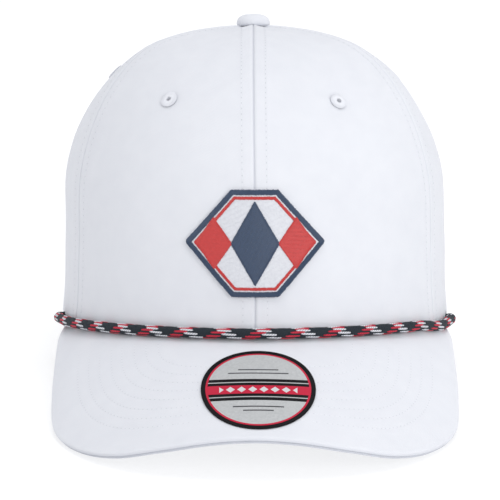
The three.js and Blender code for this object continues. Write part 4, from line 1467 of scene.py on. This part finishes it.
# %% Sweatband
def band_point(angle, height, depth):
    row = row_at_height(angle, rim_height(angle) + height)
    return crown_round(angle, row) - crown_normal(angle, row) * np.asarray(depth)[..., None]


def in_back(x):
    return math.pi - np.arcsin(x / RIM_HALF_WIDTH)


def make_sweatband():
    bm = bmesh.new()
    bmesh.ops.create_grid(bm, x_segments=300, y_segments=26, size=1)
    flat = read_verts(bm)
    end = float(in_back(ARCH_HALF_WIDTH + 12.3))
    angle = flat[:, 0] * end
    height = (flat[:, 1] + 1) * 17
    inside = 5.0
    fold = np.exp(-(((height - 30.5) / 0.6) ** 2)) + np.exp(-(((height - 3.5) / 0.6) ** 2))
    ripple = soft_noise(np.stack([angle * 90, height * 0.6, height * 0], -1), 14, 3) * 0.25
    edge = 0.35 * (np.exp(-((height / 0.8) ** 2)) + np.exp(-(((34 - height) / 0.8) ** 2)))
    move_verts(bm.verts, band_point(angle, height, inside - 0.18 * fold - edge + ripple))
    # Painted shade along the band's fold lines
    note_cloth(bm, np.stack([angle * 90, height], -1), fold * 0.4)
    bmesh.ops.reverse_faces(bm, faces=bm.faces)
    bmesh.ops.solidify(bm, geom=bm.faces[:], thickness=1.2)
    stand_mesh(bm)
    face_outwards(bm)
    return finish_piece(bm, "inner_band", [band_cloth], "sweatband_cloth", "sweatband")


make_sweatband()


# %% Binding of the back opening
def arch_place(turn, reach):
    """A place beside the arch: turn runs along it from 0 to pi, and reach is how far outside its edge."""
    step = 1e-3
    edge = lambda t: np.stack([ARCH_HALF_WIDTH * np.cos(t), ARCH_HEIGHT * np.maximum(np.sin(t), 0) ** 0.8], -1)
    low, high = np.maximum(turn - step, 0), np.minimum(turn + step, math.pi)
    run = edge(high) - edge(low)
    away = unit(np.stack([run[..., 1], -run[..., 0]], -1))
    place = edge(turn) + away * np.asarray(reach)[..., None]
    x, height = place[..., 0], np.maximum(place[..., 1], 0)
    angle = in_back(x)
    return angle, row_at_height(angle, height)


def arch_point(turn, reach, depth):
    angle, row = arch_place(turn, reach)
    return crown_point(angle, row, depth)


def swept_section(loop, lines, place):
    """A closed section carried along a path by place(share, across, depth), with share running from 0 to 1."""
    loop = np.array(loop)
    bm = bmesh.new()
    bmesh.ops.create_grid(bm, x_segments=len(loop), y_segments=lines, size=1)
    flat = read_verts(bm)
    station = np.rint((flat[:, 0] + 1) / 2 * len(loop)).astype(int) % len(loop)
    share = (flat[:, 1] + 1) / 2
    across, depth = loop[station, 0], loop[station, 1]
    move_verts(bm.verts, place(share, across, depth))
    note_cloth(bm, np.stack([share * 140, across + depth], -1), np.zeros(len(flat)))
    bmesh.ops.remove_doubles(bm, verts=bm.verts, dist=0.01)
    bmesh.ops.holes_fill(bm, edges=[edge for edge in bm.edges if edge.is_boundary])
    bmesh.ops.recalc_face_normals(bm, faces=bm.faces)
    return bm


def make_binding():
    loop = [
        (-1.1, -0.9), (-0.5, -1.35), (0.6, -1.4), (3.0, -1.25), (5.6, -1.05), (6.6, -1.2), (7.0, -0.9),
        (6.8, -0.35), (3.0, -0.3), (-0.2, -0.25), (-0.35, 1.1), (-0.2, 2.5), (3.0, 2.5), (6.8, 2.55), (7.0, 3.0),
        (6.6, 3.4), (5.6, 3.3), (3.0, 3.4), (0.6, 3.5), (-0.5, 3.4), (-1.1, 3.0), (-1.35, 1.1),
    ]

    def place(share, reach, depth):
        turn = math.pi * (0.004 + 0.992 * share)
        unevenness = 0.05 * soft_noise(np.stack([turn * 40, reach, depth], -1), 5, 4)
        return arch_point(turn, reach, depth + unevenness)

    bm = swept_section(loop, 130, place)
    stand_mesh(bm)
    face_outwards(bm)
    finish_piece(bm, "folded_binding", [tape_cloth], "crown_cloth", "arch_binding")
    turns = np.linspace(0.06, math.pi - 0.06, 260)
    angle, row = arch_place(turns, np.full(260, 5.6))
    normals = crown_normal(angle, row)
    stitched_piece("topstitching_binding", stitch_row(crown_point(angle, row, -1.05), normals, pitch=2.6))


make_binding()

# %% [markdown]
# ## Closure strap
#
# The strap is moulded in one piece: a flat band with thicker rounded edges and a row of round studs. The band is
# one closed section carried along the back of the rim, as the binding is round its arch. Each stud is a small
# profile spun round and set on it. A section keeps its edges even where a wall added later would flare.

# %% Strap
def make_plastic():
    material, tree = new_material("strap_plastic")
    own_place = node(tree, "ShaderNodeTexCoord").outputs["Object"]
    grain = node(tree, "ShaderNodeTexNoise", {"Vector": own_place, "Scale": 2600.0, "Detail": 2.0}).outputs["Fac"]
    marks = place_group(tree, marks_group, {"Place": own_place, "Size": 60.0})
    faint = math_node(tree, "MULTIPLY", marks.outputs["Mask"], 0.2)
    colour = mix_colour(tree, faint, (0.84, 0.85, 0.88, 1), (0.72, 0.73, 0.77, 1))
    rough = math_node(tree, "MULTIPLY_ADD", marks.outputs["Mask"], 0.14, 0.36)
    shade(tree, colour, rough, grain, 0.00002, Specular_IOR_Level=0.5)
    return material


strap_plastic = make_plastic()


STRAP_MIDDLE = 11.0
STRAP_FACE = 5.2  # how far the strap's outer face lies inside the crown
STRAP_OVERLAP = 12
STUD_COUNT = 5
STUD_PITCH = 11.0


def make_strap():
    loop = [
        (1.0, 5.6), (1.35, 5.22), (2.2, 5.0), (3.0, STRAP_FACE), (7.0, STRAP_FACE), (15.0, STRAP_FACE),
        (19.0, STRAP_FACE), (19.8, 5.0), (20.65, 5.22), (21.0, 5.6), (21.0, 6.3), (20.6, 6.7), (15.0, 6.7),
        (7.0, 6.7), (1.4, 6.7), (1.0, 6.3),
    ]
    end = float(in_back(ARCH_HALF_WIDTH + STRAP_OVERLAP))

    def place(share, height, depth):
        angle = math.pi - (2 * share - 1) * (math.pi - end)
        return band_point(angle, height, depth)

    bm = swept_section(loop, 90, place)
    stud = [(0.01, 1.9), (1.1, 1.85), (1.75, 1.6), (2.05, 1.1), (1.95, 0.7), (2.0, 0.25), (2.5, 0.1), (2.9, -0.05)]
    for i in range(STUD_COUNT):
        angle = np.float64(in_back((i - (STUD_COUNT - 1) / 2) * STUD_PITCH))
        seat = band_point(angle, STRAP_MIDDLE, STRAP_FACE)
        normal = crown_normal(angle, row_at_height(angle, rim_height(angle) + STRAP_MIDDLE))
        standing = set(bm.verts)
        line = [bm.verts.new((r, 0, z)) for r, z in stud]
        edges = [bm.edges.new(pair) for pair in zip(line, line[1:])]
        bmesh.ops.spin(
            bm, geom=line + edges, cent=(0, 0, 0), axis=(0, 0, 1), angle=2 * math.pi, steps=24, use_merge=True,
        )
        turned = [vert for vert in bm.verts if vert not in standing]
        seating = Vector(normal).to_track_quat("Z", "Y").to_matrix().to_4x4()
        seating.translation = Vector(seat)
        bmesh.ops.transform(bm, matrix=seating, verts=turned)
    stand_mesh(bm)
    bmesh.ops.recalc_face_normals(bm, faces=bm.faces)
    return finish_piece(bm, "snap_strap", [strap_plastic], "strap_plastic", "closure_strap")


make_strap()

# %% [markdown]
# ## Floor and light
#
# The photo is a studio shot: a white ground without edges or hard shadows, a large soft light from the front
# right, and enough light from all round that the shaded left side stays a light grey. The floor is a light
# table, which glows by itself, so the shadow under the peak stays pale. A pale sky and two large area lights do
# the rest.

# %% Floor
def make_floor():
    material, tree = new_material("studio_floor")
    shade(
        tree, (0.45, 0.452, 0.455, 1), 0.9, None, 0,
        Specular_IOR_Level=0.1, Emission_Color=(1, 1, 1, 1), Emission_Strength=0.6,
    )
    bm = bmesh.new()
    bmesh.ops.create_grid(bm, x_segments=8, y_segments=8, size=6)
    mesh = bpy.data.meshes.new("studio_floor")
    bm.to_mesh(mesh)
    bm.free()
    mesh.materials.append(material)
    floor = bpy.data.objects.new("studio_floor", mesh)
    scene.collection.objects.link(floor)


make_floor()

# %% Lights
def area_light(name, place, size, power, colour=(1, 1, 1)):
    light = bpy.data.lights.new(name, "AREA")
    light.shape = "DISK"
    light.size = size
    light.energy = power
    light.color = colour
    holder = bpy.data.objects.new(name, light)
    holder.location = place
    holder.rotation_euler = (Vector((0, 0, 0.06)) - Vector(place)).to_track_quat("-Z", "Y").to_euler()
    scene.collection.objects.link(holder)


world = bpy.data.worlds.new("studio_sky")
world.use_nodes = True
world.node_tree.nodes["Background"].inputs["Color"].default_value = (0.96, 0.97, 1.0, 1)
world.node_tree.nodes["Background"].inputs["Strength"].default_value = 0.89
scene.world = world
area_light("key", (1.15, -1.5, 0.8), 1.0, 9.6)
area_light("top", (0.1, -0.3, 2.0), 1.2, 7.5)
scene.view_settings.view_transform = "Standard"
